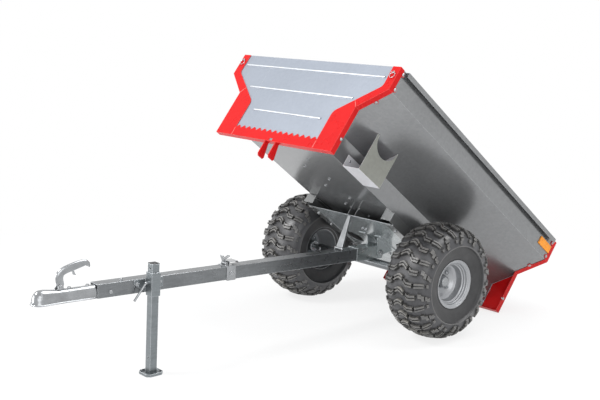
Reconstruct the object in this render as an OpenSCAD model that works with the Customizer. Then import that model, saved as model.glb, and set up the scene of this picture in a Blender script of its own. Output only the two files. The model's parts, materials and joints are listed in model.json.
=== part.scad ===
// All-terrain vehicle trailer with a tipping load box, shown tipped and standing on its leg.
// Millimetres. X runs across the trailer, -Y points to the hitch and Z is up from the ground.
// Chassis pieces are drawn level in the bar frame: its origin is the tipping pivot and the
// drawbar lies on its Y axis. Box pieces are drawn level in the box frame, from the same pivot.

/* [Stance] */
// Angle by which the drawbar rises to the front as it stands on its leg
stance = 2.3; // [0:0.1:4]

/* [Wheels] */
// Distance between the middles of the two tyres
track = 930; // [920:2:980]
// Diameter of a tyre over its tread
tyre_d = 559; // [545:1:575]
// Width of a tyre over its shoulders
tyre_w = 274; // [250:2:280]
// Height of the tread lugs
lug_h = 17; // [12:0.5:20]
// Pairs of lugs round a tyre
lug_pairs = 18; // [14:1:20]
// Diameter of the seat on which the tyre sits
rim_seat_d = 203; // [200:0.5:206]
// Width of the rim over its flanges
rim_w = 213; // [206:1:220]
// Height of a rim flange over the seat
rim_lip = 16; // [12:0.5:18]
// Pitch circle of the wheel nuts
nut_circle = 100; // [96:1:106]

/* [Axle and drawbar] */
// Diameter of the axle tube
axle_d = 42.4; // [38:0.1:48]
// Wall of the axle tube
axle_wall = 4; // [3:0.5:6]
// Distance from the axle back to the tipping pivot
pivot_back = 36.5; // [34:0.5:40]
// Side of the square drawbar
bar = 60; // [56:1:62]
// Wall of the drawbar
bar_wall = 4; // [3:0.5:5]
// Distance from the pivot to the front end of the drawbar
bar_front = 1640; // [1600:5:1700]
// Distance from the pivot to the rear end of the drawbar
bar_tail = 22; // [20:0.5:24]
// Length of the reinforcing shoe ahead of the pivot
shoe_front = 162; // [140:2:180]
// Sheet of the reinforcing shoe
shoe_t = 4; // [3:0.5:5]
// Diameter of the pivot bolt
pivot_bolt_d = 14; // [12:1:16]

/* [Ball coupling] */
// Diameter of the towing ball
ball_d = 50; // [49:0.5:51]
// Distance from the pivot to the middle of the ball
ball_y = 1886; // [1870:2:1900]
// Wall of the coupling head
head_wall = 5; // [4:0.5:7]
// Width of the shank that enters the drawbar
shank_w = 50; // [44:1:51]
// Length of the gooseneck handle from its pivot to its tip
handle_len = 160; // [150:2:170]

/* [Support leg] */
// Distance from the pivot to the middle of the leg
leg_y = 1392; // [1380:2:1410]
// Distance from the middle of the drawbar to the middle of the leg
leg_x = 62; // [58:1:66]
// Side of the square leg tube
leg_side = 35; // [32:1:38]
// Wall of the leg tube
leg_wall = 3; // [2.5:0.5:4]
// Height of the leg above the middle of the drawbar
leg_top = 99; // [90:1:110]
// Wall of the sleeve that holds the leg
sleeve_wall = 4; // [3:0.5:5]
// Height of the sleeve
sleeve_h = 102; // [96:2:110]
// Side of the square foot plate
foot_side = 84; // [76:2:90]

/* [Load box] */
// Distance from the pivot to the front face of the box
box_front = 943; // [930:1:950]
// Distance from the pivot to the rear face of the box
box_rear = 606; // [600:1:620]
// Width over the end frames at the top
top_w = 1098; // [1080:2:1110]
// Width over the end frames at the bottom
low_w = 827; // [810:1:840]
// Height of the box top over the pivot
top_z = 512.5; // [505:0.5:520]
// Height of the upper fold over the pivot
fold_z = 394; // [388:1:400]
// Height of the lower corner of an end frame over the pivot
corner_z = 288; // [282:1:294]
// Height of the floor over the pivot
floor_z = 97.5; // [96:0.5:102]
// Height of the bottom of an end frame over the pivot
frame_z = 53.5; // [52:0.5:56]
// Width over the walls beside the floor
floor_w = 590; // [570:2:600]
// Thickness of the galvanised sheet
sheet = 2; // [1.5:0.25:2.5]
// Width and drop of the rolled top lip
lip = 22; // [16:1:26]
// Overlap of the two side sheets in the middle of the floor
seam = 180; // [150:5:200]

/* [End frames] */
// Plate of the end frames
frame_t = 3; // [2.5:0.5:4]
// Depth of the flange round an end frame
flange = 28; // [24:1:32]
// Width of an end frame's face beside the upper wall
face_w = 48; // [44:1:54]
// Teeth along the bottom bar
teeth = 15; // [11:2:19]
// Height of a tooth
tooth_h = 16; // [10:1:18]
// Length of the two guide lugs under the front bar
guide_lug = 78; // [60:1:80]
// Width of the two guide lugs
guide_w = 42; // [36:1:44]

/* [Hatches] */
// Height of a pressed rib in a hatch
rib_h = 4; // [2:0.5:5]
// Width of a pressed rib in a hatch
rib_w = 14; // [10:1:18]

/* [Cradle] */
// Distance from the pivot to the front edge of the cradle plate
cradle_front = 279; // [270:1:284]
// Distance from the pivot to the rear edge of the cradle plate
cradle_rear = 300; // [280:5:320]
// Height of the top of the cradle plate over the pivot
cradle_z = 51; // [50:0.5:52]
// Gap between a cradle rail and the tyre beside it
rail_gap = 25; // [20:1:32]
// Plate of the cradle
cradle_t = 3; // [2.5:0.5:3.5]
// Diameter of the two round windows in the cradle plate
window_d = 100; // [80:2:120]
// Distance from the outside of a rail to the middle of the window beside it
window_in = 123; // [110:1:140]

/* [Tipping stay] */
// Distance from the pivot to the hinge of the stay
stay_y = 258; // [256:1:262]
// Gap between the top of the stay and the edge it props
stay_gap = 3; // [2.5:0.5:4]
// Width of the stay at its foot
stay_foot = 44; // [36:1:46]

/* [Side pocket] */
// Distance of the pocket's front end behind the front face
pocket_front = 205; // [190:5:220]
// Length of the pocket
pocket_len = 170; // [150:5:190]
// Depth of the pocket across the trailer
pocket_depth = 107; // [90:1:110]
// Radius of the half-round cut-out in the pocket's outer wall
notch_r = 77; // [40:1:80]

/* [Hidden] */
$fn = 48;
// Clearances: running fit of a pin, fixed fit beside a piece, and free gap of a moving piece
run = 0.05;
fit = 0.1;
free = 0.5;
// Colours
red = [0.86, 0.13, 0.1];
zinc = [0.72, 0.75, 0.78];
steel = [0.58, 0.61, 0.63];
bright = [0.85, 0.86, 0.88];
black = [0.09, 0.09, 0.1];
amber = [0.96, 0.55, 0.05];

// The drawbar rests on the axle tube, so the pivot lies this far over the axle
half = bar / 2;
axle_r = axle_d / 2;
pivot_up = half + axle_r;
wheel_z = tyre_d / 2;
pivot_y = pivot_back * cos(stance) + pivot_up * sin(stance);
pivot_z = wheel_z - pivot_back * sin(stance) + pivot_up * cos(stance);
// Tipped, the rear bottom edge of the box rests on the ground
tip = asin(pivot_z / norm([box_rear, frame_z])) + atan2(frame_z, box_rear);
// Turn of the box about the pivot from tipped to lowered
turn = tip - stance;
// The leg reaches the ground, and its foot is level there
leg_foot_z = (pivot_z + leg_y * sin(stance)) / cos(stance);
// The nose of the coupling and the rear top edge of the box bound the length
nose_r = ball_d / 2 + head_wall + 8;
nose_world = pivot_y - ball_y * cos(stance) - nose_r;
rear_world = pivot_y + box_rear * cos(tip) + top_z * sin(tip);
mid_y = (nose_world + rear_world) / 2;
// Half width over the cradle rails, and the windows between them
rail_x = track / 2 - tyre_w / 2 - rail_gap;
window_x = rail_x - window_in;

module on_ground() translate([0, -mid_y, 0]) children();
module in_bar() on_ground() translate([0, pivot_y, pivot_z]) rotate([-stance, 0, 0]) children();
module in_box() on_ground() translate([0, pivot_y, pivot_z]) rotate([-tip, 0, 0]) children();
module mirrored() { children(); mirror([1, 0, 0]) children(); }
module side(s) { if (s > 0) children(); else mirror([1, 0, 0]) children(); }
// A cylinder along X from x0 to x1
module rod_x(r, x0, x1) translate([x0, 0, 0]) rotate([0, 90, 0]) cylinder(r = r, h = x1 - x0);
// A cylinder along Y from y0 to y1
module rod_y(r, y0, y1) translate([0, y1, 0]) rotate([90, 0, 0]) cylinder(r = r, h = y1 - y0);
// A profile drawn as [y, z] points, extruded along X from x0 to x1
module along_x(x0, x1) translate([x0, 0, 0]) rotate([90, 0, 90]) linear_extrude(x1 - x0) children();
// A profile drawn as [x, z] points, extruded along Y from y0 to y1
module along_y(y0, y1) translate([0, y1, 0]) rotate([90, 0, 0]) linear_extrude(y1 - y0) children();
// Bolt head with washer on a face at height 0, its axis along Z
module bolt_head(d) {
    cylinder(r = d, h = 0.15 * d);
    translate([0, 0, 0.15 * d]) cylinder(r = 0.92 * d, h = 0.65 * d, $fn = 6);
}
module round_head(d) {
    cylinder(r = d, h = 0.25 * d);
    translate([0, 0, 0.25 * d]) cylinder(r1 = d, r2 = 0.5 * d, h = 0.35 * d);
}

// Left normal of the leg from a to b, and a path moved sideways by d with mitred corners
function unit(v) = v / norm(v);
function normal(a, b) = let (u = unit(b - a)) [-u[1], u[0]];
function moved(p, i, d) =
    let (n = len(p) - 1,
         a = normal(p[max(i - 1, 0)], p[max(i, 1)]),
         b = normal(p[min(i, n - 1)], p[min(i + 1, n)]))
    p[i] + (a + b) * d / (1 + a * b);
function shifted(p, d) = [for (i = [0:len(p) - 1]) moved(p, i, d)];
function back(p) = [for (i = [len(p) - 1:-1:0]) p[i]];
function flipped(p) = [for (q = p) [-q[0], q[1]]];
// A folded strip of thickness t on the left of path p
module strip(p, t) polygon(concat(p, back(shifted(p, t))));
// Arc points that round corner b between a and c by radius r
function rounded(a, b, c, r, n = 6) =
    let (u = unit(a - b), v = unit(c - b), h = acos(u * v) / 2, m = unit(u + v),
         o = b + m * r / sin(h), s = b + u * r / tan(h) - o, e = b + v * r / tan(h) - o,
         a0 = atan2(s[1], s[0]), a1 = atan2(e[1], e[0]),
         d = (a1 - a0 > 180) ? a1 - a0 - 360 : (a1 - a0 < -180) ? a1 - a0 + 360 : a1 - a0)
    [for (i = [0:n]) o + r * [cos(a0 + d * i / n), sin(a0 + d * i / n)]];

// Outline of an end frame, right half, from the top down
frame_side = [[top_w / 2, top_z], [top_w / 2, fold_z], [low_w / 2, corner_z], [low_w / 2, frame_z]];
frame_out = concat(frame_side, back(flipped(frame_side)));
frame_in = shifted(frame_out, -frame_t);
slope = (top_w - low_w) / (2 * (fold_z - corner_z));
// The side walls lie inside the flange; their path follows the bed side of the sheet
wall_x = top_w / 2 - frame_t - fit - sheet;
wall_fold = fold_z + (frame_t + fit + sheet) * tan((90 - atan(1 / slope)) / 2);
floor_x = floor_w / 2 - sheet;
wall_low = wall_fold - (wall_x - floor_x) / slope;
function wall_path(z, end) = [
    [wall_x + sheet + lip, top_z - lip], [wall_x + sheet + lip, top_z], [wall_x, top_z],
    [wall_x, wall_fold], [floor_x, wall_low], [floor_x, z], [end, z]
];
// Height of the outside of the slope at x
function slope_z(x) = wall_fold - (wall_x - x) / slope - sheet * norm([1, slope]) / slope;
// Depths of the hatch between the frame face and the ends of the side walls
hatch_gap = 0.5;
hatch_y = frame_t + hatch_gap;
wall_y = hatch_y + sheet + hatch_gap;
bolt_y = 33;

// Outline of the face of an end frame, with the hatch window and the toothed bottom bar
window_x0 = top_w / 2 - face_w;
window_x1 = floor_x - 1;
window_fold = wall_fold + 12;
window_low = wall_low + 52;
tooth_w = 2 * window_x1 / teeth;
function tooth_tops() = [
    for (i = [0:teeth - 1]) for (k = [0, 1])
        [window_x1 - (i + k / 2) * tooth_w, floor_z + (k == 1 ? tooth_h : 0)]
];
window_right = concat(
    [[window_x0, top_z]],
    rounded([window_x0, top_z], [window_x0 + 3, window_fold], [window_x1, window_low], 30),
    rounded([window_x0 + 3, window_fold], [window_x1, window_low], [window_x1, floor_z], 40)
);
frame_face = concat(
    back(frame_out), window_right, tooth_tops(), [[-window_x1, floor_z]],
    back(flipped(window_right))
);

// Chassis
module drawbar() color(steel) in_bar() difference() {
    translate([-half, -bar_front, -half]) cube([bar, bar_front + bar_tail, bar]);
    translate([-half + bar_wall, -bar_front - 1, -half + bar_wall])
        cube([bar - 2 * bar_wall, bar_front + bar_tail + 2, bar - 2 * bar_wall]);
    rod_x(pivot_bolt_d / 2 + run, -half - 1, half + 1);
    // Holes for the coupling bolts, the catch bolt and the sleeve bolts
    translate([0, -front_bolt_y, -8]) rod_x(5 + fit, -half - 1, half + 1);
    translate([0, -top_bolt_y, half - bar_wall - 1]) cylinder(r = 5 + fit, h = bar_wall + 2);
    translate([0, -catch_y, -2]) rod_x(5 + fit, -half - 1, half + 1);
    for (y = sleeve_bolt_ys) translate([0, -y, sleeve_bolt_z]) rod_x(5 + fit, -half - 1, half + 1);
}
front_bolt_y = bar_front - 62;
top_bolt_y = bar_front - 128;

module drawbar_shoe() color(zinc) in_bar() difference() {
    out = half + fit + shoe_t;
    along_y(-shoe_front, bar_tail - 4) strip([[half + fit, -out], [half + fit, half + fit],
        [-half - fit, half + fit], [-half - fit, -out]], -shoe_t);
    rod_x(pivot_bolt_d / 2 + run, -out - 1, out + 1);
    // Saddle notch for the axle tube
    translate([0, -pivot_back, -pivot_up]) rod_x(axle_r + fit, -out - 1, out + 1);
}

module axle_tube() color(zinc) in_bar() translate([0, -pivot_back, -pivot_up]) difference() {
    rod_x(axle_r, -axle_end, axle_end);
    rod_x(axle_r - axle_wall, -axle_end - 1, axle_end + 1);
    mirrored() translate([spindle_bolt_x, 0, 0]) rod_y(5 + fit, -axle_d, axle_d);
}
axle_end = track / 2 - 90;
spindle_bolt_x = axle_end - 16;
spindle_r = 12.5;

module wheel_spindles() color(steel) in_bar() translate([0, -pivot_back, -pivot_up]) mirrored()
    difference() {
        union() {
            rod_x(axle_r - axle_wall - fit, axle_end - 60, axle_end + 14);
            rod_x(spindle_r, axle_end, track / 2 + disc_x + 24);
        }
        translate([spindle_bolt_x, 0, 0]) rod_y(5 + fit, -axle_d, axle_d);
    }

// Castle nuts on the ends of the spindles, under the caps
module spindle_nuts() color(bright) in_bar() translate([0, -pivot_back, -pivot_up]) mirrored()
    translate([track / 2 + disc_x + 14.3, 0, 0]) difference() {
        rotate([0, 90, 0]) cylinder(r = castle_r, h = castle_h, $fn = 6);
        rod_x(spindle_r + fit, -1, castle_h + 1);
    }
castle_r = 18;
castle_h = 8;

module spindle_bolts() color(bright) in_bar() translate([0, -pivot_back, -pivot_up]) mirrored()
    translate([spindle_bolt_x, 0, 0]) {
        rod_y(5, -axle_r - 3, axle_r + 3);
        translate([0, -axle_r - 2, 0]) rotate([90, 0, 0]) bolt_head(10);
        translate([0, axle_r + 2, 0]) rotate([-90, 0, 0]) bolt_head(10);
    }

module pivot_bolt() color(bright) in_bar() {
    seat = cheek_x + cheek_t + fit;
    rod_x(pivot_bolt_d / 2, -seat - 1, seat + 1);
    mirrored() translate([seat, 0, 0]) rotate([0, 90, 0]) bolt_head(pivot_bolt_d * 0.9);
}

stay_pin_z = half + 8.5;
module stay_bracket() color(zinc) in_bar() translate([0, -stay_y, 0]) {
    difference() {
        mirrored() along_x(stay_foot / 2 + free, stay_foot / 2 + free + 4) union() {
            translate([0, stay_pin_z]) circle(r = 6.5);
            translate([-6.5, half]) square([13, stay_pin_z - half]);
        }
        translate([0, 0, stay_pin_z]) rod_x(4 + run, -half, half);
    }
    translate([0, 0, stay_pin_z]) rod_x(4, -stay_foot / 2 - 6, stay_foot / 2 + 6);
}

catch_y = 955;
catch_len = 50;
catch_t = 3.5;
catch_top = frame_z - 1;
module catch_bracket() color(bright) in_bar() translate([0, -catch_y, 0]) difference() {
    edge = half + fit;
    union() {
        along_y(-catch_len / 2, catch_len / 2)
            strip([[edge, -half - 4], [edge, half + fit], [-edge, half + fit],
                   [-edge, -half - 4]], -catch_t);
        // Saddle on which the front bar of the box comes down
        along_x(-24, 24) strip([[-3, half + catch_t], [-3, catch_top - catch_t],
            [38, catch_top - catch_t], [48, catch_top - catch_t - 9]], catch_t);
        mirrored() along_x(14, 18) union() {
            translate([catch_pin_y, catch_pin_z]) circle(r = 7);
            translate([catch_pin_y - 7, half + 1]) square([14, catch_pin_z - half - 1]);
        }
    }
    translate([0, 0, -2]) rod_x(5 + fit, -edge - 9, edge + 9);
    translate([0, catch_pin_y, catch_pin_z]) rod_x(3 + run, -30, 30);
    translate([-half + 4, -catch_len, -half - 9]) cube([bar - 8, 2 * catch_len, 5]);
}
catch_pin_y = -16;
catch_pin_z = half + 12;
// Swing of the catch from its open rest into the slot of the lowered front bar
catch_swing = 24;
slot_z = frame_z + frame_t + 1;

module catch_bolt() color(bright) in_bar() {
    translate([0, -catch_y, -2]) {
        seat = half + fit + catch_t;
        rod_x(5, -seat - 1, seat + 1);
        mirrored() translate([seat + fit, 0, 0]) rotate([0, 90, 0]) bolt_head(8.5);
    }
    translate([0, -catch_y + catch_pin_y, catch_pin_z]) rod_x(3, -20, 20);
}

module catch_lever() color(bright) in_bar()
    translate([0, -catch_y + catch_pin_y, catch_pin_z]) difference() {
        union() {
            rod_x(5.5, -13.5, 13.5);
            along_x(-13.5, 13.5) strip([[-21, 36], [-17, 35], [-4, 5], [-3, 0]], 3);
            // Nose that turns back into the slot of the front bar
            low = slot_z + 1 - catch_pin_z;
            rotate([catch_swing, 0, 0]) along_x(-8, 8)
                polygon([[-4, 2], [3, 4], [6, low - 1], [35, low], [35, low + 5], [2, low + 4]]);
        }
        rod_x(3 + run, -30, 30);
    }

// Coupling
head_top = ball_d / 2 + head_wall + 2;
rim_low = -28;
module coupling_head() color(bright) in_bar() translate([0, -ball_y, 0]) difference() {
    ball_r = ball_d / 2 + 0.3;
    union() {
        rotate_extrude() polygon(concat(
            [[0, rim_low], [nose_r, rim_low], [nose_r, rim_low + 4], [nose_r - 5, rim_low + 7]],
            [for (a = [0:15:90]) [(nose_r - 7) * cos(a), head_top * sin(a)]]));
        hull() {
            translate([-29, -1, rim_low]) cube([58, 2, 34]);
            translate([-shank_w / 2, 74, rim_low + 3]) cube([shank_w, 2, 49]);
            translate([-14, 10, 0]) cube([28, 40, head_top - 2]);
        }
        hull() {
            translate([-nose_r, 0, rim_low]) cube([2 * nose_r, 1, 4]);
            translate([-shank_w / 2 - 6, 76, rim_low]) cube([shank_w + 12, 1, 4]);
        }
        translate([-shank_w / 2 - 6, 76, rim_low]) cube([shank_w + 12, ball_y - bar_front - 78, 4]);
        translate([-shank_w / 2, 70, -shank_w / 2]) cube([shank_w, shank_end - 70, shank_w]);
        mirrored() along_x(9, 13) union() {
            translate([handle_y, handle_z]) circle(r = 10);
            translate([handle_y - 16, 0]) square([32, handle_z]);
        }
    }
    // Socket for the ball, open downwards
    translate([0, 0, rim_low - 1]) cylinder(r = ball_r, h = 1 - rim_low);
    sphere(r = ball_r);
    translate([-shank_w / 2 + 4, 40, rim_low - 1]) cube([shank_w - 8, shank_end, 40]);
    translate([0, handle_y, handle_z]) rod_x(4 + run, -20, 20);
    translate([0, ball_y - front_bolt_y, -8]) rod_x(5 + fit, -half, half);
    translate([0, ball_y - top_bolt_y, 0]) cylinder(r = 5 + fit, h = half);
    for (y = head_bolt_ys) translate([0, y, 0]) cylinder(r = 5 + fit, h = half);
}
shank_end = ball_y - bar_front + 150;
head_bolt_ys = [130, 214];
handle_y = 88;
handle_z = 36;

module coupling_bolts() color(bright) in_bar() {
    // Two bolts stand on the shank, one on the drawbar and one crosses it
    for (y = head_bolt_ys) translate([0, y - ball_y, shank_w / 2]) {
        bolt_head(8);
        translate([0, 0, -12]) cylinder(r = 5, h = 12);
    }
    translate([0, -top_bolt_y, half]) bolt_head(8);
    translate([0, -top_bolt_y, half - 14]) cylinder(r = 5, h = 14);
    translate([0, -front_bolt_y, -8]) {
        rod_x(5, -half - 0.5, half + 0.5);
        mirrored() translate([half, 0, 0]) rotate([0, 90, 0]) bolt_head(8);
    }
}

module handle_pin() color(steel) in_bar() translate([0, handle_y - ball_y, handle_z]) {
    rod_x(4, -14, 14);
    mirrored() rod_x(6.5, 13.1, 15.5);
}

// Rise and reach of the gooseneck from its pivot
neck = [handle_len * 0.12, handle_len * 0.40];
tip_at = [handle_len * 0.82, handle_len * 0.58];
module coupling_handle() color(bright) in_bar()
    translate([0, handle_y - ball_y, handle_z]) difference() {
        union() {
            rod_x(9, -8.5, 8.5);
            hull() {
                rod_x(8, -8.5, 8.5);
                translate([0, neck[0], neck[1]]) rod_x(11, -10, 10);
            }
            hull() {
                translate([0, neck[0], neck[1]]) rod_x(11, -10, 10);
                translate([0, tip_at[0], tip_at[1]]) rod_x(9, -11, 11);
            }
            hull() {
                translate([0, tip_at[0], tip_at[1]]) rod_x(9, -11, 11);
                translate([0, tip_at[0] + 4, tip_at[1] - 14]) rod_x(4, -11, 11);
            }
        }
        rod_x(4 + run, -20, 20);
        // Pocket for the safety trigger
        translate([-4.5, trigger_at[0] - 10, trigger_at[1] - 22]) cube([9, 26, 22]);
        translate([0, trigger_at[0], trigger_at[1] - 5]) rod_x(2 + run, -20, 20);
    }
trigger_at = [handle_len * 0.36, handle_len * 0.42];
module handle_trigger() color(bright) in_bar()
    translate([0, handle_y - ball_y + trigger_at[0], handle_z + trigger_at[1] - 5]) {
        rod_x(2, -11, 11);
        along_x(-4, 4) union() {
            circle(r = 4);
            polygon([[-4, 0], [4, 0], [9, -15], [14, -19], [12, -22], [2, -20]]);
        }
    }

// Support leg
sleeve_in = leg_side / 2 + 0.4;
sleeve_out = sleeve_in + sleeve_wall;
sleeve_low = -40;
sleeve_bolt_ys = [leg_y - 51, leg_y + 62];
sleeve_bolt_z = 10;
module leg_sleeve() color(steel) in_bar() difference() {
    union() {
        translate([leg_x - sleeve_out, -leg_y - sleeve_out, sleeve_low])
            cube([2 * sleeve_out, 2 * sleeve_out, sleeve_h]);
        // Spacer, and mounting plate against the side of the drawbar
        along_x(half + fit, leg_x - sleeve_in)
            translate([-leg_y - sleeve_out, -28]) square([2 * sleeve_out, 54]);
        along_x(half + fit, half + fit + 4)
            polygon([[-leg_y - sleeve_out - 56, 26], [-leg_y - sleeve_out - 40, 29],
                     [-leg_y + sleeve_out + 46, 29], [-leg_y + sleeve_out + 46, -12],
                     [-leg_y + sleeve_out, -28], [-leg_y - sleeve_out, -28],
                     [-leg_y - sleeve_out - 56, 10]]);
    }
    translate([leg_x - sleeve_in, -leg_y - sleeve_in, sleeve_low - 1])
        cube([2 * sleeve_in, 2 * sleeve_in, sleeve_h + 2]);
    for (y = sleeve_bolt_ys) translate([0, -y, sleeve_bolt_z]) rod_x(5 + fit, 0, 2 * half);
    translate([leg_x, -leg_y, clamp_z]) rod_y(6 + run, -2 * sleeve_out, 0);
}
clamp_z = 17;

module sleeve_bolts() color(bright) in_bar()
    for (y = sleeve_bolt_ys) translate([0, -y, sleeve_bolt_z]) {
        seat = half + fit + 4;
        rod_x(5, -half - 1, seat + 1);
        translate([-half, 0, 0]) rotate([0, -90, 0]) bolt_head(8.5);
        translate([seat, 0, 0]) rotate([0, 90, 0]) bolt_head(8.5);
    }

// Clamp screw with its bent handle
clamp_end = [-14, -48, -76];
module clamp_screw() color(bright) in_bar() translate([leg_x, -leg_y, clamp_z]) {
    rod_y(6, -sleeve_out - 14, -leg_side / 2 - 0.3);
    translate([0, -sleeve_out - 14, 0]) {
        sphere(r = 6);
        rotate([0, acos(clamp_end[2] / norm(clamp_end)), atan2(clamp_end[1], clamp_end[0])])
            cylinder(r = 5, h = norm(clamp_end));
    }
}

module leg_tube() color(steel) in_bar() translate([leg_x, -leg_y, 0]) difference() {
    translate([-leg_side / 2, -leg_side / 2, -leg_foot_z + leg_seat])
        cube([leg_side, leg_side, leg_foot_z - leg_seat + leg_top - fit]);
    translate([-leg_side / 2 + leg_wall, -leg_side / 2 + leg_wall, -leg_foot_z])
        cube([leg_side - 2 * leg_wall, leg_side - 2 * leg_wall, 2 * leg_foot_z]);
    for (z = [leg_top - 20, -312]) translate([0, 0, z]) rod_y(4.5, -leg_side, leg_side);
}

module leg_plug() color(black) in_bar() translate([leg_x, -leg_y, leg_top]) {
    translate([-leg_side / 2, -leg_side / 2, 0]) cube([leg_side, leg_side, 3]);
    in = leg_side / 2 - leg_wall - fit;
    translate([-in, -in, -12]) cube([2 * in, 2 * in, 12]);
}

// Foot plate with a dished rim, level on the ground while the leg leans with the drawbar
foot_t = 5;
leg_seat = foot_t + leg_side / 2 * sin(stance) + fit;
module leg_foot() color(steel) in_bar() translate([leg_x, -leg_y, -leg_foot_z])
    rotate([stance, 0, 0]) {
        cut = foot_side / 2 - 14;
        h = foot_side / 2;
        plate = [[-h, -cut], [-cut, -h], [cut, -h], [h, -cut], [h, cut], [cut, h], [-cut, h], [-h, cut]];
        linear_extrude(foot_t) polygon(plate);
        linear_extrude(foot_t + 7) difference() {
            polygon(plate);
            polygon(plate * ((h - 3) / h));
        }
        // Spigot that enters the leg
        linear_extrude(foot_t + 14) square(leg_side - 2 * leg_wall - 2, center = true);
    }

// Stay that props the tipped box on the drawbar
stay_top = [-cradle_front * cos(turn) + (cradle_z - cradle_t) * sin(turn),
            cradle_front * sin(turn) + (cradle_z - cradle_t) * cos(turn)];
stay_vec = stay_top - [-stay_y, stay_pin_z];
stay_len = norm(stay_vec) - stay_gap;
stay_lean = atan2(stay_vec[0], stay_vec[1]);
stay_fold = 8;
module tip_stay() color(zinc) in_bar() translate([0, -stay_y, stay_pin_z])
    rotate([-stay_lean, 0, 0]) difference() {
        union() {
            rod_x(6.5, -stay_foot / 2, stay_foot / 2);
            translate([0, 1.5, 0]) rotate([90, 0, 0]) linear_extrude(3)
                polygon([[-stay_foot / 2, 0], [stay_foot / 2, 0], [9, stay_len], [-9, stay_len]]);
            // Folded edges that stiffen the plate
            mirrored() translate([0, stay_fold, 0]) rotate([90, 0, 0]) linear_extrude(stay_fold)
                difference() {
                    polygon([[stay_foot / 2 - 3, 0], [stay_foot / 2, 0], [9, stay_len], [6, stay_len]]);
                    translate([0, stay_len - 16]) square(16);
                }
        }
        rod_x(4 + run, -half, half);
    }

// Wheels. Offsets from the middle of the tyre are counted outwards
disc_x = 18;
hub_x = 6;
module on_axle(s) side(s) in_bar() translate([track / 2, -pivot_back, -pivot_up])
    rotate([stance, 0, 0]) children();
// Turned profile given as [offset along X, radius] points
module turned(p) rotate([0, 90, 0]) rotate_extrude($fn = 96) polygon([for (q = p) [q[1], q[0]]]);

rim_r = rim_seat_d / 2;
flange_r = rim_r + rim_lip;
tyre_r = tyre_d / 2;
carcass_r = tyre_r - lug_h;
bead_gap = 0.3;
// Half profile of the tyre from the bead over the side to the crown
function tyre_out() = [
    [rim_w / 2 - 10, rim_r + bead_gap], [rim_w / 2 - 5.2, flange_r - 1], [rim_w / 2 - 5, flange_r + 4],
    [rim_w / 2 + 8, flange_r + 16], [tyre_w / 2 - 5, flange_r + 44], [tyre_w / 2 - 4, flange_r + 64],
    [tyre_w / 2 - 1, flange_r + 67], [tyre_w / 2 - 1, flange_r + 72], [tyre_w / 2 - 4, flange_r + 76],
    [tyre_w / 2 - 6, carcass_r - 36], [tyre_w / 2 - 18, carcass_r - 15], [tyre_w / 2 - 44, carcass_r - 3],
    [24, carcass_r]
];
function tyre_in() = [
    [16, carcass_r - 11], [tyre_w / 2 - 50, carcass_r - 15], [tyre_w / 2 - 18, carcass_r - 44],
    [tyre_w / 2 - 14, flange_r + 60], [tyre_w / 2 - 24, flange_r + 34], [rim_w / 2 - 16, flange_r + 8],
    [rim_w / 2 - 22, rim_r + bead_gap]
];
module tyre(s) color(black) on_axle(s) {
    turned(concat(tyre_out(), back([for (q = tyre_out()) [-q[0], q[1]]]),
        [for (q = back(tyre_in())) [-q[0], q[1]]], tyre_in()));
    step = 360 / lug_pairs;
    // The two sides alternate, and a chevron block points to the ground
    for (i = [0:lug_pairs - 1]) rotate([180 + i * step, 0, 0]) {
        lug(1, step);
        rotate([step / 2, 0, 0]) lug(-1, step);
    }
}
// Radius over the tread at x from the middle
function tread_r(x) = tyre_r - 0.25 * max(0, x - tyre_w / 2 + 62);
// The blocks of one pitch on side m, drawn at the top of the tyre: an arm of the chevron, a bar
// behind it, an outer bar and a shoulder block that wraps over the edge
module lug(m, step) {
    tread_block(m, 3, 40, 20, -18, 4);
    rotate([-0.36 * step, 0, 0]) tread_block(m, 44, 82, 18, 8, 0);
    tread_block(m, 64, 100, 18, 16, -6);
    e = tyre_w / 2;
    rotate([-0.5 * step, 0, 0]) translate([0, 11, 0]) rotate([90, 0, 0]) linear_extrude(22)
        polygon([for (q = [[e - 36, carcass_r - 12], [e - 33, tread_r(e - 33)], [e - 10, tyre_r - 24],
            [e - 5, tyre_r - 46], [e - 22, carcass_r - 34]]) [m * q[0], q[1]]]);
}
// A block from x0 to x1, w wide round the tyre, turned by a about its inner end
module tread_block(m, x0, x1, w, a, y)
    translate([m * x0, y + w / 2, 0]) rotate([0, 0, m * a]) rotate([90, 0, 0]) linear_extrude(w)
        polygon([for (q = [[0, carcass_r - 6], [0, tread_r(x0)], [x1 - x0, tread_r(x1)],
            [x1 - x0, carcass_r - 8]]) [m * q[0], q[1]]]);

module rim(s) color(zinc) on_axle(s) difference() {
    w = rim_w / 2;
    turned([[disc_x, 34], [disc_x + 3, 34], [disc_x + 3, 62], [disc_x + 12, 70], [disc_x + 16, 82],
        [w - 42, rim_r - 18], [w - 30, rim_r - 16], [w - 22, rim_r - 3], [w - 8, rim_r - 3],
        [w - 3, flange_r - 4], [w, flange_r - 4], [w, flange_r], [w - 4, flange_r], [w - 9, rim_r],
        [w - 25, rim_r], [w - 33, rim_r - 13], [w - 45, rim_r - 15], [disc_x + 8, 85],
        [-w + 45, rim_r - 15], [-w + 33, rim_r - 13], [-w + 25, rim_r], [-w + 9, rim_r],
        [-w + 4, flange_r], [-w, flange_r], [-w, flange_r - 4], [-w + 3, flange_r - 4],
        [-w + 8, rim_r - 3], [-w + 22, rim_r - 3], [-w + 30, rim_r - 16], [-w + 42, rim_r - 18],
        [disc_x, 82]]);
    for (a = [45:90:315]) rotate([a, 0, 0]) translate([0, nut_circle / 2, 0])
        rod_x(6 + fit, disc_x - 2, disc_x + 6);
}

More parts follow.
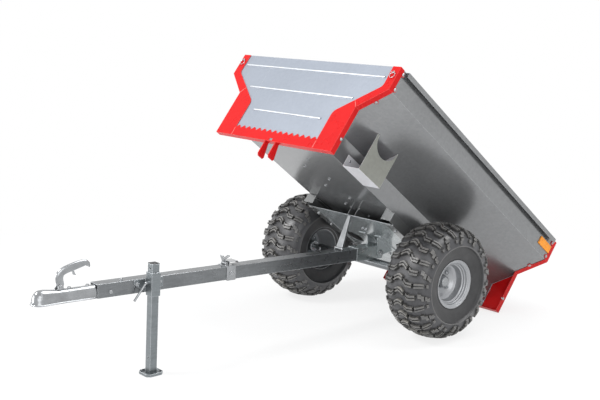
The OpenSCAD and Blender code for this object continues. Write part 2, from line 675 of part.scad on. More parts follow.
module hub(s) color(steel) on_axle(s) difference() {
    turned([[hub_x - 46, 0], [hub_x - 46, 29], [disc_x - 7, 30], [disc_x - 7, nut_circle / 2 + 13],
        [disc_x, nut_circle / 2 + 13], [disc_x, 30], [disc_x + 14, 30], [disc_x + 14, 0]]);
    rod_x(bearing_r - 4, -60, 60);
    rod_x(bearing_r, hub_x - 47, hub_x - 32);
    rod_x(bearing_r, disc_x + 2, disc_x + 20);
    for (a = [45:90:315]) rotate([a, 0, 0]) translate([0, nut_circle / 2, 0])
        rod_x(6 + fit, disc_x - 20, disc_x + 2);
}
bearing_r = 26;

module bearings(s) color(bright) on_axle(s)
    for (x = [hub_x - 46, disc_x + 2]) translate([x, 0, 0])
        turned([[0, spindle_r + run], [0, bearing_r - fit], [12, bearing_r - fit],
            [12, spindle_r + run]]);

module nuts(s) color(bright) on_axle(s)
    for (a = [45:90:315]) rotate([a, 0, 0]) translate([0, nut_circle / 2, 0]) {
        rod_x(6, disc_x - 16, disc_x + 16);
        translate([disc_x + 3, 0, 0]) rotate([0, 90, 0]) cylinder(r = 10, h = 9, $fn = 6);
    }

module cap(s) color(bright) on_axle(s)
    turned([[disc_x + 14.1, 28.5], [disc_x + 14.1, 31], [disc_x + 20, 29.5], [disc_x + 24, 27],
        [disc_x + 32, 24], [disc_x + 35, 19], [disc_x + 35, 0], [disc_x + 33, 0], [disc_x + 33, 18],
        [disc_x + 30.5, 22], [disc_x + 23, 24.8], [disc_x + 19, 27]]);

// Load box
module near_side() color(zinc) in_box() difference() {
    side_sheet(floor_z + sheet);
    floor_holes();
}
module far_side() color(zinc) in_box() difference() {
    mirror([1, 0, 0]) side_sheet(floor_z + 2 * sheet + fit);
    floor_holes();
}
// One side of the box: lip, wall, slope, lower wall and its part of the floor
module side_sheet(z) difference() {
    union() {
        along_y(-box_front + wall_y, box_rear - wall_y)
            strip(slice(wall_path(z, -seam / 2), 2), sheet);
        // The lip stops short of the end frames
        along_y(-box_front + flange + 16, box_rear - flange - 16)
            strip(slice(wall_path(z, 0), 0, 3), sheet);
    }
    for (y = [-box_front + bolt_y, box_rear - bolt_y])
        flange_places(y) rod_x(bolt_r + fit, -frame_t - sheet - 9, 9);
}
function slice(p, a, b = undef) = [for (i = [a:(b == undef ? len(p) - 1 : b)]) p[i]];

// Staggered bolts along the floor seam
bolt_pitch = 176;
seam_start = 214;
seam_stagger = 82;
seam_in = 43;
seam_x = seam / 2 - seam_in;
floor_places = [for (i = [0:7]) for (s = [1, -1])
    [s * seam_x, -box_front + seam_start + (s > 0 ? 0 : seam_stagger) + i * bolt_pitch]];
module floor_holes() for (q = floor_places) translate([q[0], q[1], floor_z - 1])
    cylinder(r = bolt_r + fit, h = 12);
module floor_bolts() color(bright) in_box() for (q = floor_places) translate([q[0], q[1], floor_z]) {
    translate([0, 0, -bolt_r]) cylinder(r = bolt_r, h = 2 * sheet + bolt_r + 1);
    rotate([180, 0, 0]) translate([0, 0, fit]) cylinder(r = 1.65 * bolt_r, h = 1.25 * bolt_r, $fn = 6);
    translate([0, 0, 2 * sheet + 2 * fit]) round_head(1.75 * bolt_r);
}

// Bolts through flange and sheet: two on each wall and one on each slope, their X axis outward
bolt_r = 4;
wall_bolt_zs = [top_z - 20, top_z - 100];
module flange_places(y) mirrored() {
    for (z = wall_bolt_zs) translate([top_w / 2, y, z]) children();
    translate([(top_w + low_w) / 4, y, (fold_z + corner_z) / 2])
        rotate([0, atan(slope), 0]) children();
}
// Bolts through the lower flange alone
low_bolt_y = 20;
low_bolt_z = frame_z + 76;
module low_places(y) mirrored() translate([low_w / 2, y, low_bolt_z]) children();

module end_frame() difference() {
    union() {
        along_y(0, frame_t) polygon(frame_face);
        along_y(0, flange) polygon(concat(back(frame_out), frame_in));
        // Tabs of the flange round its bolts
        flange_places(0) along_x(0.1 - frame_t, -0.1) union() {
            translate([bolt_y, 0]) circle(r = 11);
            translate([frame_t, -11]) square([bolt_y - frame_t, 22]);
        }
    }
    flange_places(bolt_y) rod_x(bolt_r + fit, -12, 12);
    low_places(low_bolt_y) rod_x(bolt_r + fit, -12, 12);
}

module front_frame() color(red) in_box() difference() {
    translate([0, -box_front, 0]) end_frame();
    // Slot for the catch
    translate([-11, -box_front - 1, slot_z]) cube([22, frame_t + 2, 12]);
    mirrored() translate([lynch_x, -box_front, lynch_z]) rod_y(pin_r + fit, -1, frame_t + 1);
}
module rear_frame() color(red) in_box() translate([0, box_rear, 0]) mirror([0, 1, 0]) end_frame();

module guide_lugs() color(red) in_box() mirrored()
    along_x(half + 4.6, half + 9.6) polygon([[-box_front + 4, frame_z],
        [-box_front + 4, frame_z - guide_lug + 10], [-box_front + 12, frame_z - guide_lug],
        [-box_front + guide_w, frame_z - guide_lug], [-box_front + 4 + guide_w, frame_z - guide_lug + 10],
        [-box_front + flange, frame_z]]);

module frame_bolts() color(bright) in_box() {
    for (y = [-box_front + bolt_y, box_rear - bolt_y])
        flange_places(y) flange_bolt(frame_t + sheet + 2 * fit);
    for (y = [-box_front + low_bolt_y, box_rear - low_bolt_y]) low_places(y) flange_bolt(frame_t + fit);
}
// A round-headed bolt along X, its head on the face at 0 and its nut behind the given grip
module flange_bolt(grip) {
    rod_x(bolt_r, -grip - bolt_r - 1, 0.5);
    translate([fit, 0, 0]) rotate([0, 90, 0]) round_head(2 * bolt_r);
    translate([-grip, 0, 0]) rotate([0, -90, 0]) cylinder(r = 1.75 * bolt_r, h = 1.5 * bolt_r, $fn = 6);
}

// Lift-out hatch that slides between the frame face and the ends of the walls
hatch_path = shifted(frame_out, -frame_t - hatch_gap);
module hatch() difference() {
    union() {
        along_y(hatch_y, hatch_y + sheet) polygon(hatch_path);
        // Hem along the top and three pressed ribs
        along_x(-wall_x + 1, wall_x - 1) translate([hatch_y + sheet, top_z - sheet]) square([18, sheet]);
        for (q = [[58, 0.97], [181, 0.73], [305, 0.48]])
            rib(q[1] * window_x0, top_z - q[0]);
    }
    mirrored() translate([lynch_x, 0, lynch_z]) rod_y(pin_r + fit, 0, hatch_y + sheet + 1);
}
module rib(x, z) difference() {
    along_y(hatch_y - rib_h, hatch_y + 0.5) union() {
        translate([-x, z - rib_w / 2]) square([2 * x, rib_w]);
    }
    along_x(-x - 1, x + 1) polygon([[hatch_y - rib_h - 1, z + rib_w], [hatch_y - rib_h - 1, z + rib_w / 4],
        [hatch_y - rib_h, z + rib_w / 4], [hatch_y, z + rib_w / 2], [hatch_y, z + rib_w]]);
    along_x(-x - 1, x + 1) polygon([[hatch_y - rib_h - 1, z - rib_w], [hatch_y - rib_h - 1, z - rib_w / 4],
        [hatch_y - rib_h, z - rib_w / 4], [hatch_y, z - rib_w / 2], [hatch_y, z - rib_w]]);
}
module front_hatch() color(zinc) in_box() translate([0, -box_front, 0]) difference() {
    hatch();
    // Notch behind the slot of the frame, for the nose of the catch
    translate([-13, 0, frame_z]) cube([26, hatch_y + sheet + 1, slot_z + 13 - frame_z]);
}
module rear_hatch() color(zinc) in_box() translate([0, box_rear, 0]) mirror([0, 1, 0]) hatch();

// Spring-ring pins that lock the front hatch
lynch_x = top_w / 2 - 22;
lynch_z = top_z - 34;
module lynch_pins() color(bright) in_box() mirrored() translate([lynch_x, -box_front, lynch_z]) {
    rod_y(pin_r, -8, hatch_y + sheet + 6);
    rod_y(2 * pin_r, -8, -0.2);
    translate([0, -5, -ring_r]) rotate([90, 0, 0]) rotate_extrude()
        translate([ring_r, 0]) circle(r = ring_wire / 2, $fn = 24);
}
pin_r = 3;
ring_r = 14;
ring_wire = 3;

module side_pocket() color(zinc) in_box() translate([0, -box_front + pocket_front, 0]) {
    x0 = floor_w / 2 + fit;
    x1 = floor_w / 2 + pocket_depth;
    z0 = floor_z - 4;
    z1 = slope_z(x1) - 2;
    // Outer wall with its half-round cut-out, bottom, rear end and wall flange
    along_x(x1 - sheet, x1) difference() {
        polygon([[0, z0], [pocket_len, z0], [pocket_len, z1], [0, z1]]);
        translate([pocket_len - notch_r - 4, z1 + 3]) circle(r = notch_r);
    }
    along_y(0, pocket_len) polygon([[x0, z0], [x1, z0], [x1, z0 + sheet], [x0, z0 + sheet]]);
    along_y(pocket_len - sheet, pocket_len)
        polygon([[x0, z0], [x1, z0], [x1, z1], [x0, slope_z(x0) - 2]]);
    along_y(0, pocket_len) polygon([[x0, z0], [x0 + sheet, z0], [x0 + sheet, z0 + 60], [x0, z0 + 60]]);
}
module pocket_rivets() color(bright) in_box() for (y = [25, pocket_len - 25])
    translate([floor_w / 2 + sheet + 2 * fit, -box_front + pocket_front + y, floor_z + 35])
        rotate([0, 90, 0]) round_head(6);

module reflectors() color(amber) in_box() mirrored()
    translate([wall_x + sheet + fit, box_rear - 140, top_z - 80]) cube([6, 110, 40]);

// Cradle under the floor, which carries the box on its pivot
module cradle_plate() color(zinc) in_box() difference() {
    translate([-rail_x + cradle_t + fit, -cradle_front, cradle_z - cradle_t])
        cube([2 * (rail_x - cradle_t - fit), cradle_front + cradle_rear, cradle_t]);
    mirrored() translate([window_x, 0, 0]) cylinder(r = window_d / 2, h = cradle_z + 1);
    // Notch for the top of the stay
    translate([-10, -cradle_front - 1, 0]) cube([20, 3, cradle_z + 1]);
    cradle_places() cylinder(r = cradle_bolt_r + fit, h = 20, center = true);
}
strip_x = rail_x - 24;
rail_bolt_far = 219;
rail_bolt_near = 105;
rail_bolt_ys = [-rail_bolt_far, -rail_bolt_near, rail_bolt_near, rail_bolt_far];
spine_bolt_span = 130;
spine_bolt_ys = [-spine_bolt_span - 10, -10, spine_bolt_span - 10];
cradle_bolt_r = 5;
spine_w = 52;
spine_foot = 10;
spine_bolt_x = spine_w / 4;
module cradle_places() {
    mirrored() for (y = rail_bolt_ys) translate([strip_x, y, cradle_z]) children();
    for (x = [-spine_bolt_x, spine_bolt_x]) for (y = spine_bolt_ys)
        translate([x, y, cradle_z]) children();
}
module cradle_rails() color(zinc) in_box() mirrored() difference() {
    low = cradle_z - 2 * cradle_t - fit;
    top = floor_z - fit;
    union() {
        along_y(-cradle_front, cradle_rear)
            strip([[rail_x - 51, low], [rail_x, low], [rail_x, top], [rail_x - 42, top]], cradle_t);
        // Front ear that closes the rail under the floor
        along_y(-cradle_front - 40, -cradle_front - 37) polygon([[rail_x - 56, cradle_z + 1],
            [rail_x + 8, cradle_z + 1], [rail_x + 8, top], [rail_x - 56, top]]);
        along_y(-cradle_front - 37, -cradle_front)
            polygon([[rail_x - cradle_t, cradle_z], [rail_x, cradle_z], [rail_x, top],
                     [rail_x - cradle_t, top]]);
    }
    cradle_places() cylinder(r = cradle_bolt_r + fit, h = 20, center = true);
}
module cradle_spine() color(zinc) in_box() difference() {
    top = floor_z - cradle_t - fit;
    along_y(-cradle_front + 8, cradle_rear - 8)
        strip([[-spine_w / 2 - spine_foot, top], [-spine_w / 2, top], [-spine_w / 2, cradle_z + fit],
            [spine_w / 2, cradle_z + fit], [spine_w / 2, top], [spine_w / 2 + spine_foot, top]], cradle_t);
    cradle_places() cylinder(r = cradle_bolt_r + fit, h = 20, center = true);
}
module cradle_bolts() color(bright) in_box() {
    mirrored() for (y = rail_bolt_ys) translate([strip_x, y, 0])
        fastener(cradle_z - 2 * cradle_t - 2 * fit, cradle_z + fit);
    for (x = [-spine_bolt_x, spine_bolt_x]) for (y = spine_bolt_ys) translate([x, y, 0])
        fastener(cradle_z - cradle_t - fit, cradle_z + cradle_t + 2 * fit);
}
// A bolt whose head is under z0 and whose nut is over z1
module fastener(z0, z1) {
    translate([0, 0, z0 - 1]) cylinder(r = cradle_bolt_r, h = z1 - z0 + cradle_bolt_r + 1);
    translate([0, 0, z0]) rotate([180, 0, 0]) bolt_head(1.6 * cradle_bolt_r);
    translate([0, 0, z1]) cylinder(r = 1.6 * cradle_bolt_r, h = 1.4 * cradle_bolt_r, $fn = 6);
}

cheek_x = half + fit + shoe_t + 0.6;
cheek_t = 5;
module pivot_cheeks() color(zinc) in_box() difference() {
    top = cradle_z - cradle_t - fit;
    mirrored() {
        along_x(cheek_x, cheek_x + cheek_t) union() {
            circle(r = 24);
            polygon([[-24, 0], [24, 0], [70, top], [-70, top]]);
        }
        translate([cheek_x, -90, top - cradle_t]) cube([45, 180, cradle_t]);
    }
    rod_x(pivot_bolt_d / 2 + run, -2 * cheek_x, 2 * cheek_x);
}

module near_tyre() tyre(1);
module near_rim() rim(1);
module near_hub() hub(1);
module near_bearings() bearings(1);
module near_nuts() nuts(1);
module near_cap() cap(1);
module far_tyre() tyre(-1);
module far_rim() rim(-1);
module far_hub() hub(-1);
module far_bearings() bearings(-1);
module far_nuts() nuts(-1);
module far_cap() cap(-1);

drawbar();
drawbar_shoe();
axle_tube();
wheel_spindles();
spindle_bolts();
spindle_nuts();
pivot_bolt();
stay_bracket();
catch_bracket();
catch_bolt();
coupling_head();
coupling_bolts();
handle_pin();
leg_sleeve();
sleeve_bolts();
clamp_screw();
leg_tube();
leg_plug();
leg_foot();
coupling_handle();
handle_trigger();
tip_stay();
catch_lever();
near_tyre();
near_rim();
near_hub();
near_bearings();
near_nuts();
near_cap();
far_tyre();
far_rim();
far_hub();
far_bearings();
far_nuts();
far_cap();
near_side();
far_side();
floor_bolts();
front_frame();
rear_frame();
guide_lugs();
frame_bolts();
cradle_plate();
cradle_rails();
cradle_spine();
pivot_cheeks();
cradle_bolts();
side_pocket();
pocket_rivets();
reflectors();
lynch_pins();
front_hatch();
rear_hatch();
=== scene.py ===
"""Looks of an all-terrain vehicle trailer with its load box tipped. Lengths are in metres."""

import json
import math

import bmesh
import bpy
from mathutils import Matrix, Vector


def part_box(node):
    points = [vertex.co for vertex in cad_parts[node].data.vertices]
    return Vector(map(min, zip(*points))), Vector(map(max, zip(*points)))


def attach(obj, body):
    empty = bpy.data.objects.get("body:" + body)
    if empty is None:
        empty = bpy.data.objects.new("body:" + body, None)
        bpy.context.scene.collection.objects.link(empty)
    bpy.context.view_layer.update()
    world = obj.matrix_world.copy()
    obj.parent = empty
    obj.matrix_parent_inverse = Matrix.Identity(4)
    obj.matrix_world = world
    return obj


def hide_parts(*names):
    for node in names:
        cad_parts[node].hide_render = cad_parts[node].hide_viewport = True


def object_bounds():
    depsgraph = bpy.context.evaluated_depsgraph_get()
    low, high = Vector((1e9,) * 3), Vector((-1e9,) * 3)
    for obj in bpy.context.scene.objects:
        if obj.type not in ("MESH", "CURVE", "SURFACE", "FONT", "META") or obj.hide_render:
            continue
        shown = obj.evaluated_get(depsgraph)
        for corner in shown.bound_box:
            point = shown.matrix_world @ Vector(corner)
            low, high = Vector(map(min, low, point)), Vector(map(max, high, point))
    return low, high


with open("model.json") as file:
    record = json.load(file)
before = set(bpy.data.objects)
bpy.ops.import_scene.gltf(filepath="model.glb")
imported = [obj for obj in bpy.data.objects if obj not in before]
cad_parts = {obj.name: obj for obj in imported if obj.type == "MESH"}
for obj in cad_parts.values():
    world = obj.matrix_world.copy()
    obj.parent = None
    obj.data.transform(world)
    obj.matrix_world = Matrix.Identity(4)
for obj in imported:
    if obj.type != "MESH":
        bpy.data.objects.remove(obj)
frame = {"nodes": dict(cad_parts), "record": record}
cad_low, cad_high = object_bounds()
nodes = frame["nodes"]
joints = {j["name"]: j for j in frame["record"]["behaviour"]["joints"]}

# Places and directions from the record, and the angle by which the box is tipped
AXLE = Vector(joints["near_wheel_spin"]["pos_m"])
TRACK = AXLE.x * 2
PIVOT = Vector(joints["box_tip"]["pos_m"])
LEVER_PIN = Vector(joints["coupling_lift"]["pos_m"])
BAR_UP = Vector(joints["leg_height"]["axis"])
BOX_UP = Vector(joints["rear_gate_lift"]["axis"])
TIP = math.atan2(BOX_UP.y, BOX_UP.z)
SIDES = ((1, "near"), (-1, "far"))


def bar_vector(y, z):
    """A step along the drawbar, towards the wheels, and across it."""
    stance = math.atan2(BAR_UP.y, BAR_UP.z)
    c, s = math.cos(stance), math.sin(stance)
    return Vector((0, y * c + z * s, -y * s + z * c))


def box_point(x, y, z):
    """A point given in the lowered box's own frame, from the pivot."""
    return PIVOT + Matrix.Rotation(-TIP, 3, "X") @ Vector((x, y, z))


def box_points(node):
    """The points of a node in the lowered box's own frame."""
    turn = Matrix.Rotation(TIP, 3, "X")
    return [turn @ (v.co - PIVOT) for v in nodes[node].data.vertices]


# Camera

# Its place, from the point on the ground below the axle's middle, and its turn in radians
CAMERA_AT = Vector((3.692, -3.699, 1.573))
CAMERA_YAW = 0.854
CAMERA_PITCH = 0.186
CAMERA_ROLL = 0.018
CAMERA_FOCAL_PX = 1043.75
IMAGE_W_PX = 600
SENSOR_W_MM = 36.0
CLIP_END = 100


def make_camera():
    """The photo's camera."""
    data = bpy.data.cameras.new("camera")
    data.sensor_width = SENSOR_W_MM
    data.lens = CAMERA_FOCAL_PX / IMAGE_W_PX * data.sensor_width
    data.clip_end = CLIP_END
    flat = math.cos(CAMERA_PITCH)
    back = Vector((math.sin(CAMERA_YAW) * flat, -math.cos(CAMERA_YAW) * flat,
                   math.sin(CAMERA_PITCH)))
    right = (-back).cross(Vector((0, 0, 1))).normalized()
    up = right.cross(-back)
    c, s = math.cos(CAMERA_ROLL), math.sin(CAMERA_ROLL)
    x_axis = c * right + s * up
    y_axis = c * up - s * right
    turn = Matrix((x_axis, y_axis, back)).transposed().to_4x4()
    camera = bpy.data.objects.new("camera", data)
    camera.matrix_world = Matrix.Translation(Vector((0, AXLE.y, 0)) + CAMERA_AT) @ turn
    bpy.context.collection.objects.link(camera)
    bpy.context.scene.camera = camera


# Materials
# Sockets of a Mix node that mixes colours
MIX_A, MIX_B, MIX_RESULT = 6, 7, 2
# Cosine between the rounded and the true normal where the mask of edges, on which highlights are
# painted, starts and is full
EDGE_START, EDGE_FULL = 0.995, 0.90
SAMPLES = 6


class Shader:
    """Builds a Principled material from nodes, in object coordinates."""

    def __init__(self, name):
        self.mat = bpy.data.materials.new(name)
        self.mat.use_nodes = True
        self.tree = self.mat.node_tree
        self.bsdf = self.tree.nodes["Principled BSDF"]
        self.coords = self.add("ShaderNodeTexCoord").outputs["Object"]

    def add(self, kind, **values):
        """A new node, with its properties set."""
        node = self.tree.nodes.new(kind)
        for key, value in values.items():
            setattr(node, key, value)
        return node

    def link(self, a, b):
        self.tree.links.new(a, b)

    def set(self, **values):
        """Constants on the shader's own sockets, with _ for the blanks in their names."""
        for key, value in values.items():
            self.bsdf.inputs[key.replace("_", " ")].default_value = value

    def mapped(self, scale=(1, 1, 1), turn=(0, 0, 0)):
        """Coordinates turned and stretched, so that a texture runs along an axis."""
        node = self.add("ShaderNodeMapping", vector_type="TEXTURE")
        node.inputs["Rotation"].default_value = turn
        node.inputs["Scale"].default_value = scale
        self.link(self.coords, node.inputs["Vector"])
        return node.outputs["Vector"]

    def noise(self, scale, detail=3.0, rough=0.5, vector=None):
        """Soft noise, as a value round 0.5."""
        node = self.add("ShaderNodeTexNoise")
        node.inputs["Scale"].default_value = scale
        node.inputs["Detail"].default_value = detail
        node.inputs["Roughness"].default_value = rough
        self.link(vector or self.coords, node.inputs["Vector"])
        return node.outputs["Fac"]

    def cells(self, scale, vector=None):
        """A grey of its own for each cell of a Voronoi pattern."""
        node = self.add("ShaderNodeTexVoronoi")
        node.inputs["Scale"].default_value = scale
        self.link(vector or self.coords, node.inputs["Vector"])
        bw = self.add("ShaderNodeRGBToBW")
        self.link(node.outputs["Color"], bw.inputs["Color"])
        return bw.outputs["Val"]

    def ramp(self, value, *stops):
        """Colours for a value, from (position, colour) stops."""
        node = self.add("ShaderNodeValToRGB")
        while len(node.color_ramp.elements) < len(stops):
            node.color_ramp.elements.new(0.5)
        for element, (at, colour) in zip(node.color_ramp.elements, stops):
            element.position = at
            element.color = (*colour, 1)
        self.link(value, node.inputs["Fac"])
        return node.outputs["Color"]

    def spread(self, value, low, high):
        """A value of 0 to 1 spread between two limits."""
        node = self.add("ShaderNodeMapRange")
        node.inputs["To Min"].default_value = low
        node.inputs["To Max"].default_value = high
        self.link(value, node.inputs["Value"])
        return node.outputs["Result"]

    def blend(self, a, b, amount=0.5, mode="MIX"):
        """Two colours mixed by an amount, which is a number or a socket."""
        node = self.add("ShaderNodeMix", data_type="RGBA", blend_type=mode)
        if hasattr(amount, "links"):
            self.link(amount, node.inputs["Factor"])
        else:
            node.inputs["Factor"].default_value = amount
        self.link(a, node.inputs[MIX_A])
        self.link(b, node.inputs[MIX_B])
        return node.outputs[MIX_RESULT]

    def attribute(self, name):
        """A value stored on the points of the mesh."""
        return self.add("ShaderNodeAttribute", attribute_name=name).outputs["Fac"]

    def openness(self, distance):
        """1 in the open, less where other surfaces are nearer than the distance."""
        node = self.add("ShaderNodeAmbientOcclusion", samples=SAMPLES)
        node.inputs["Distance"].default_value = distance
        return node.outputs["AO"]

    def bump(self, height, strength, distance=0.001):
        """Adds a height to the normal that is linked so far."""
        node = self.add("ShaderNodeBump")
        node.inputs["Strength"].default_value = strength
        node.inputs["Distance"].default_value = distance
        self.link(height, node.inputs["Height"])
        before = self.bsdf.inputs["Normal"].links
        if before:
            self.link(before[0].from_socket, node.inputs["Normal"])
        self.link(node.outputs["Normal"], self.bsdf.inputs["Normal"])

    def soft_edges(self, radius):
        """Rounds the look of sharp edges, and gives a mask that is 1 on them, where highlights are
        painted.
        """
        node = self.add("ShaderNodeBevel", samples=SAMPLES)
        node.inputs["Radius"].default_value = radius
        self.link(node.outputs["Normal"], self.bsdf.inputs["Normal"])
        geometry = self.add("ShaderNodeNewGeometry")
        dot = self.add("ShaderNodeVectorMath", operation="DOT_PRODUCT")
        self.link(node.outputs["Normal"], dot.inputs[0])
        self.link(geometry.outputs["Normal"], dot.inputs[1])
        mask = self.add("ShaderNodeMapRange")
        mask.inputs["From Min"].default_value = EDGE_START
        mask.inputs["From Max"].default_value = EDGE_FULL
        self.link(dot.outputs["Value"], mask.inputs["Value"])
        return mask.outputs["Result"]

    def paint_highlight(self, base, mask, colour, share):
        """Painted highlight: the base colour with a share of another, paler colour where the mask
        is 1.
        """
        amount = self.add("ShaderNodeMath", operation="MULTIPLY")
        amount.inputs[1].default_value = share
        self.link(mask, amount.inputs[0])
        node = self.add("ShaderNodeMix", data_type="RGBA")
        self.link(amount.outputs[0], node.inputs["Factor"])
        self.link(base, node.inputs[MIX_A])
        node.inputs[MIX_B].default_value = (*colour, 1)
        return node.outputs[MIX_RESULT]

    def colour(self, socket):
        self.link(socket, self.bsdf.inputs["Base Color"])

    def rough(self, socket):
        self.link(socket, self.bsdf.inputs["Roughness"])


def grey(v):
    """A grey with a little blue."""
    blue = 1.03
    return (v, v * (1 + blue) / 2, v * blue)


def shades(level, tint):
    """A function that gives a share of the level, in the tint."""
    def shade(k):
        return tuple(level * k * t for t in tint)
    return shade


def galvanised_sheet(name, level, spread=0.12, rough=(0.16, 0.26), tint=(1.0, 1.02, 1.04),
                     metal=0.7):
    """Rolled galvanised sheet: a soft mirror with streaks along the box and faint spangle."""
    s = Shader(name)
    edge = s.soft_edges(radius=0.0016)
    along = s.mapped((0.02, 1.0, 0.02), (-TIP, 0, 0))
    across = s.mapped((1.0, 0.05, 0.05), (-TIP, 0, 0))
    streaks = s.noise(9, 6, 0.65, along)
    lines = s.noise(34, 2, 0.4, across)
    clouds = s.noise(2.2, 3, 0.55)
    spangle = s.cells(85)
    shade = shades(level, tint)
    dark, light = shade(1 - spread), shade(1 + spread)
    base = s.blend(s.ramp(clouds, (0.3, dark), (0.7, light)),
                   s.ramp(streaks, (0.3, dark), (0.7, light)), 0.5)
    fine = s.ramp(lines, (0.35, shade(1 - spread * 0.8)), (0.65, shade(1 + spread * 0.6)))
    base = s.blend(base, fine, 0.3)
    specks = s.ramp(spangle, (0.1, shade(1 - spread * 1.6)), (0.9, shade(1 + spread * 1.6)))
    base = s.blend(base, specks, 0.28)
    # Painted highlight on the sheet's sharp edges and folds
    s.colour(s.paint_highlight(base, edge, (0.78, 0.80, 0.82), 0.6))
    s.rough(s.spread(s.noise(3.5, 3), *rough))
    s.set(Metallic=metal, Specular_IOR_Level=0.4)
    s.bump(streaks, 0.10, 0.0004)
    s.bump(s.noise(3.0, 2), 0.10, 0.004)
    return s.mat


def pocket_sheet(name, outside):
    """Sheet of the pocket: dull on its outer wall, beyond the x given, and painted bright within,
    as a painted reflection of the pale surroundings.
    """
    s = Shader(name)
    edge = s.soft_edges(radius=0.0016)
    clouds = s.noise(5, 4, 0.6)
    spangle = s.cells(85)
    dull = s.blend(s.ramp(clouds, (0.3, (0.215, 0.220, 0.195)), (0.7, (0.265, 0.270, 0.240))),
                   s.ramp(spangle, (0.1, (0.200, 0.205, 0.185)), (0.9, (0.280, 0.285, 0.260))), 0.3)
    # Painted reflection of the pale surroundings on the pocket's inner walls
    bright = s.blend(s.ramp(clouds, (0.3, (0.66, 0.66, 0.68)), (0.7, (0.86, 0.86, 0.90))),
                     s.ramp(spangle, (0.1, (0.64, 0.64, 0.66)), (0.9, (0.88, 0.88, 0.92))), 0.25)
    parts = s.add("ShaderNodeSeparateXYZ")
    s.link(s.coords, parts.inputs[0])
    wall = s.add("ShaderNodeMath", operation="GREATER_THAN")
    s.link(parts.outputs["X"], wall.inputs[0])
    wall.inputs[1].default_value = outside
    base = s.blend(bright, dull, wall.outputs[0])
    # Painted highlight on the sheet's edges
    s.colour(s.paint_highlight(base, edge, (0.85, 0.86, 0.86), 0.7))
    s.rough(s.spread(s.noise(3.5, 3), 0.18, 0.28))
    s.set(Metallic=0.30, Specular_IOR_Level=0.5)
    s.bump(clouds, 0.08, 0.0006)
    return s.mat


def galvanised_steel(name, level, rough, tint=(0.97, 1.02, 1.06)):
    """Hot-dip galvanised tube and plate: cloudy grey with a fine spangle, and a painted highlight
    on the corners.
    """
    s = Shader(name)
    edge = s.soft_edges(radius=0.003)
    clouds = s.noise(9, 5, 0.65)
    runs = s.noise(16, 5, 0.6, s.mapped((1.0, 1.0, 0.12)))
    spangle = s.cells(240)
    shade = shades(level, tint)
    base = s.blend(s.ramp(clouds, (0.3, shade(0.62)), (0.72, shade(1.28))),
                   s.ramp(runs, (0.3, shade(0.70)), (0.7, shade(1.25))), 0.5)
    base = s.blend(base, s.ramp(spangle, (0.0, shade(0.78)), (1.0, shade(1.22))), 0.3)
    # Painted highlight on the corners
    s.colour(s.paint_highlight(base, edge, (0.72, 0.75, 0.78), 0.7))
    s.rough(s.spread(s.noise(30, 4), *rough))
    s.set(Metallic=0.8)
    s.bump(s.noise(160, 3), 0.08, 0.0003)
    s.bump(clouds, 0.12, 0.001)
    return s.mat


def zinc_plate(name, level=0.29, rough=(0.14, 0.28)):
    """Bright zinc plate on cast and pressed fittings."""
    s = Shader(name)
    edge = s.soft_edges(radius=0.002)
    clouds = s.noise(22, 4, 0.55)
    shade = shades(level, (0.97, 1.01, 1.05))
    base = s.ramp(clouds, (0.25, shade(0.75)), (0.75, shade(1.2)))
    # Painted highlight on the edges
    s.colour(s.paint_highlight(base, edge, (0.85, 0.87, 0.90), 0.7))
    s.rough(s.spread(s.noise(60, 3), *rough))
    s.set(Metallic=0.85, Coat_Weight=0.9, Coat_Roughness=0.08, Coat_IOR=1.7)
    s.bump(s.noise(70, 4), 0.10, 0.0006)
    return s.mat


def powder_coat(name):
    """Glossy red powder coat with fine orange peel, and a painted highlight on the folds and edges.
    """
    s = Shader(name)
    edge = s.soft_edges(radius=0.0022)
    clouds = s.noise(5, 4, 0.6)
    scuffs = s.noise(26, 6, 0.7, s.mapped((1.0, 0.2, 1.0)))
    base = s.blend(s.ramp(clouds, (0.3, (0.50, 0.004, 0.005)), (0.7, (0.58, 0.007, 0.007))),
                   s.ramp(scuffs, (0.45, (0.52, 0.005, 0.006)), (0.8, (0.62, 0.015, 0.013))), 0.3)
    # Painted highlight on the folds and edges
    s.colour(s.paint_highlight(base, edge, (0.95, 0.22, 0.20), 0.6))
    s.rough(s.spread(s.noise(20, 3), 0.22, 0.36))
    s.set(Metallic=0.0, Specular_IOR_Level=0.16, Coat_Weight=0.03, Coat_Roughness=0.12)
    s.bump(s.noise(520, 2, 0.4), 0.10, 0.0003)
    return s.mat


def weld_paint(name):
    """Paint over a weld, thin, with a painted highlight along its crest."""
    s = Shader(name)
    edge = s.soft_edges(radius=0.0010)
    base = s.ramp(s.noise(120, 3), (0.3, (0.62, 0.10, 0.09)), (0.7, (0.85, 0.30, 0.27)))
    # Painted highlight along the crest
    s.colour(s.paint_highlight(base, edge, (0.95, 0.45, 0.42), 0.5))
    s.rough(s.spread(s.noise(90, 3), 0.25, 0.4))
    s.set(Specular_IOR_Level=0.4)
    s.bump(s.noise(400, 3), 0.3, 0.0004)
    return s.mat


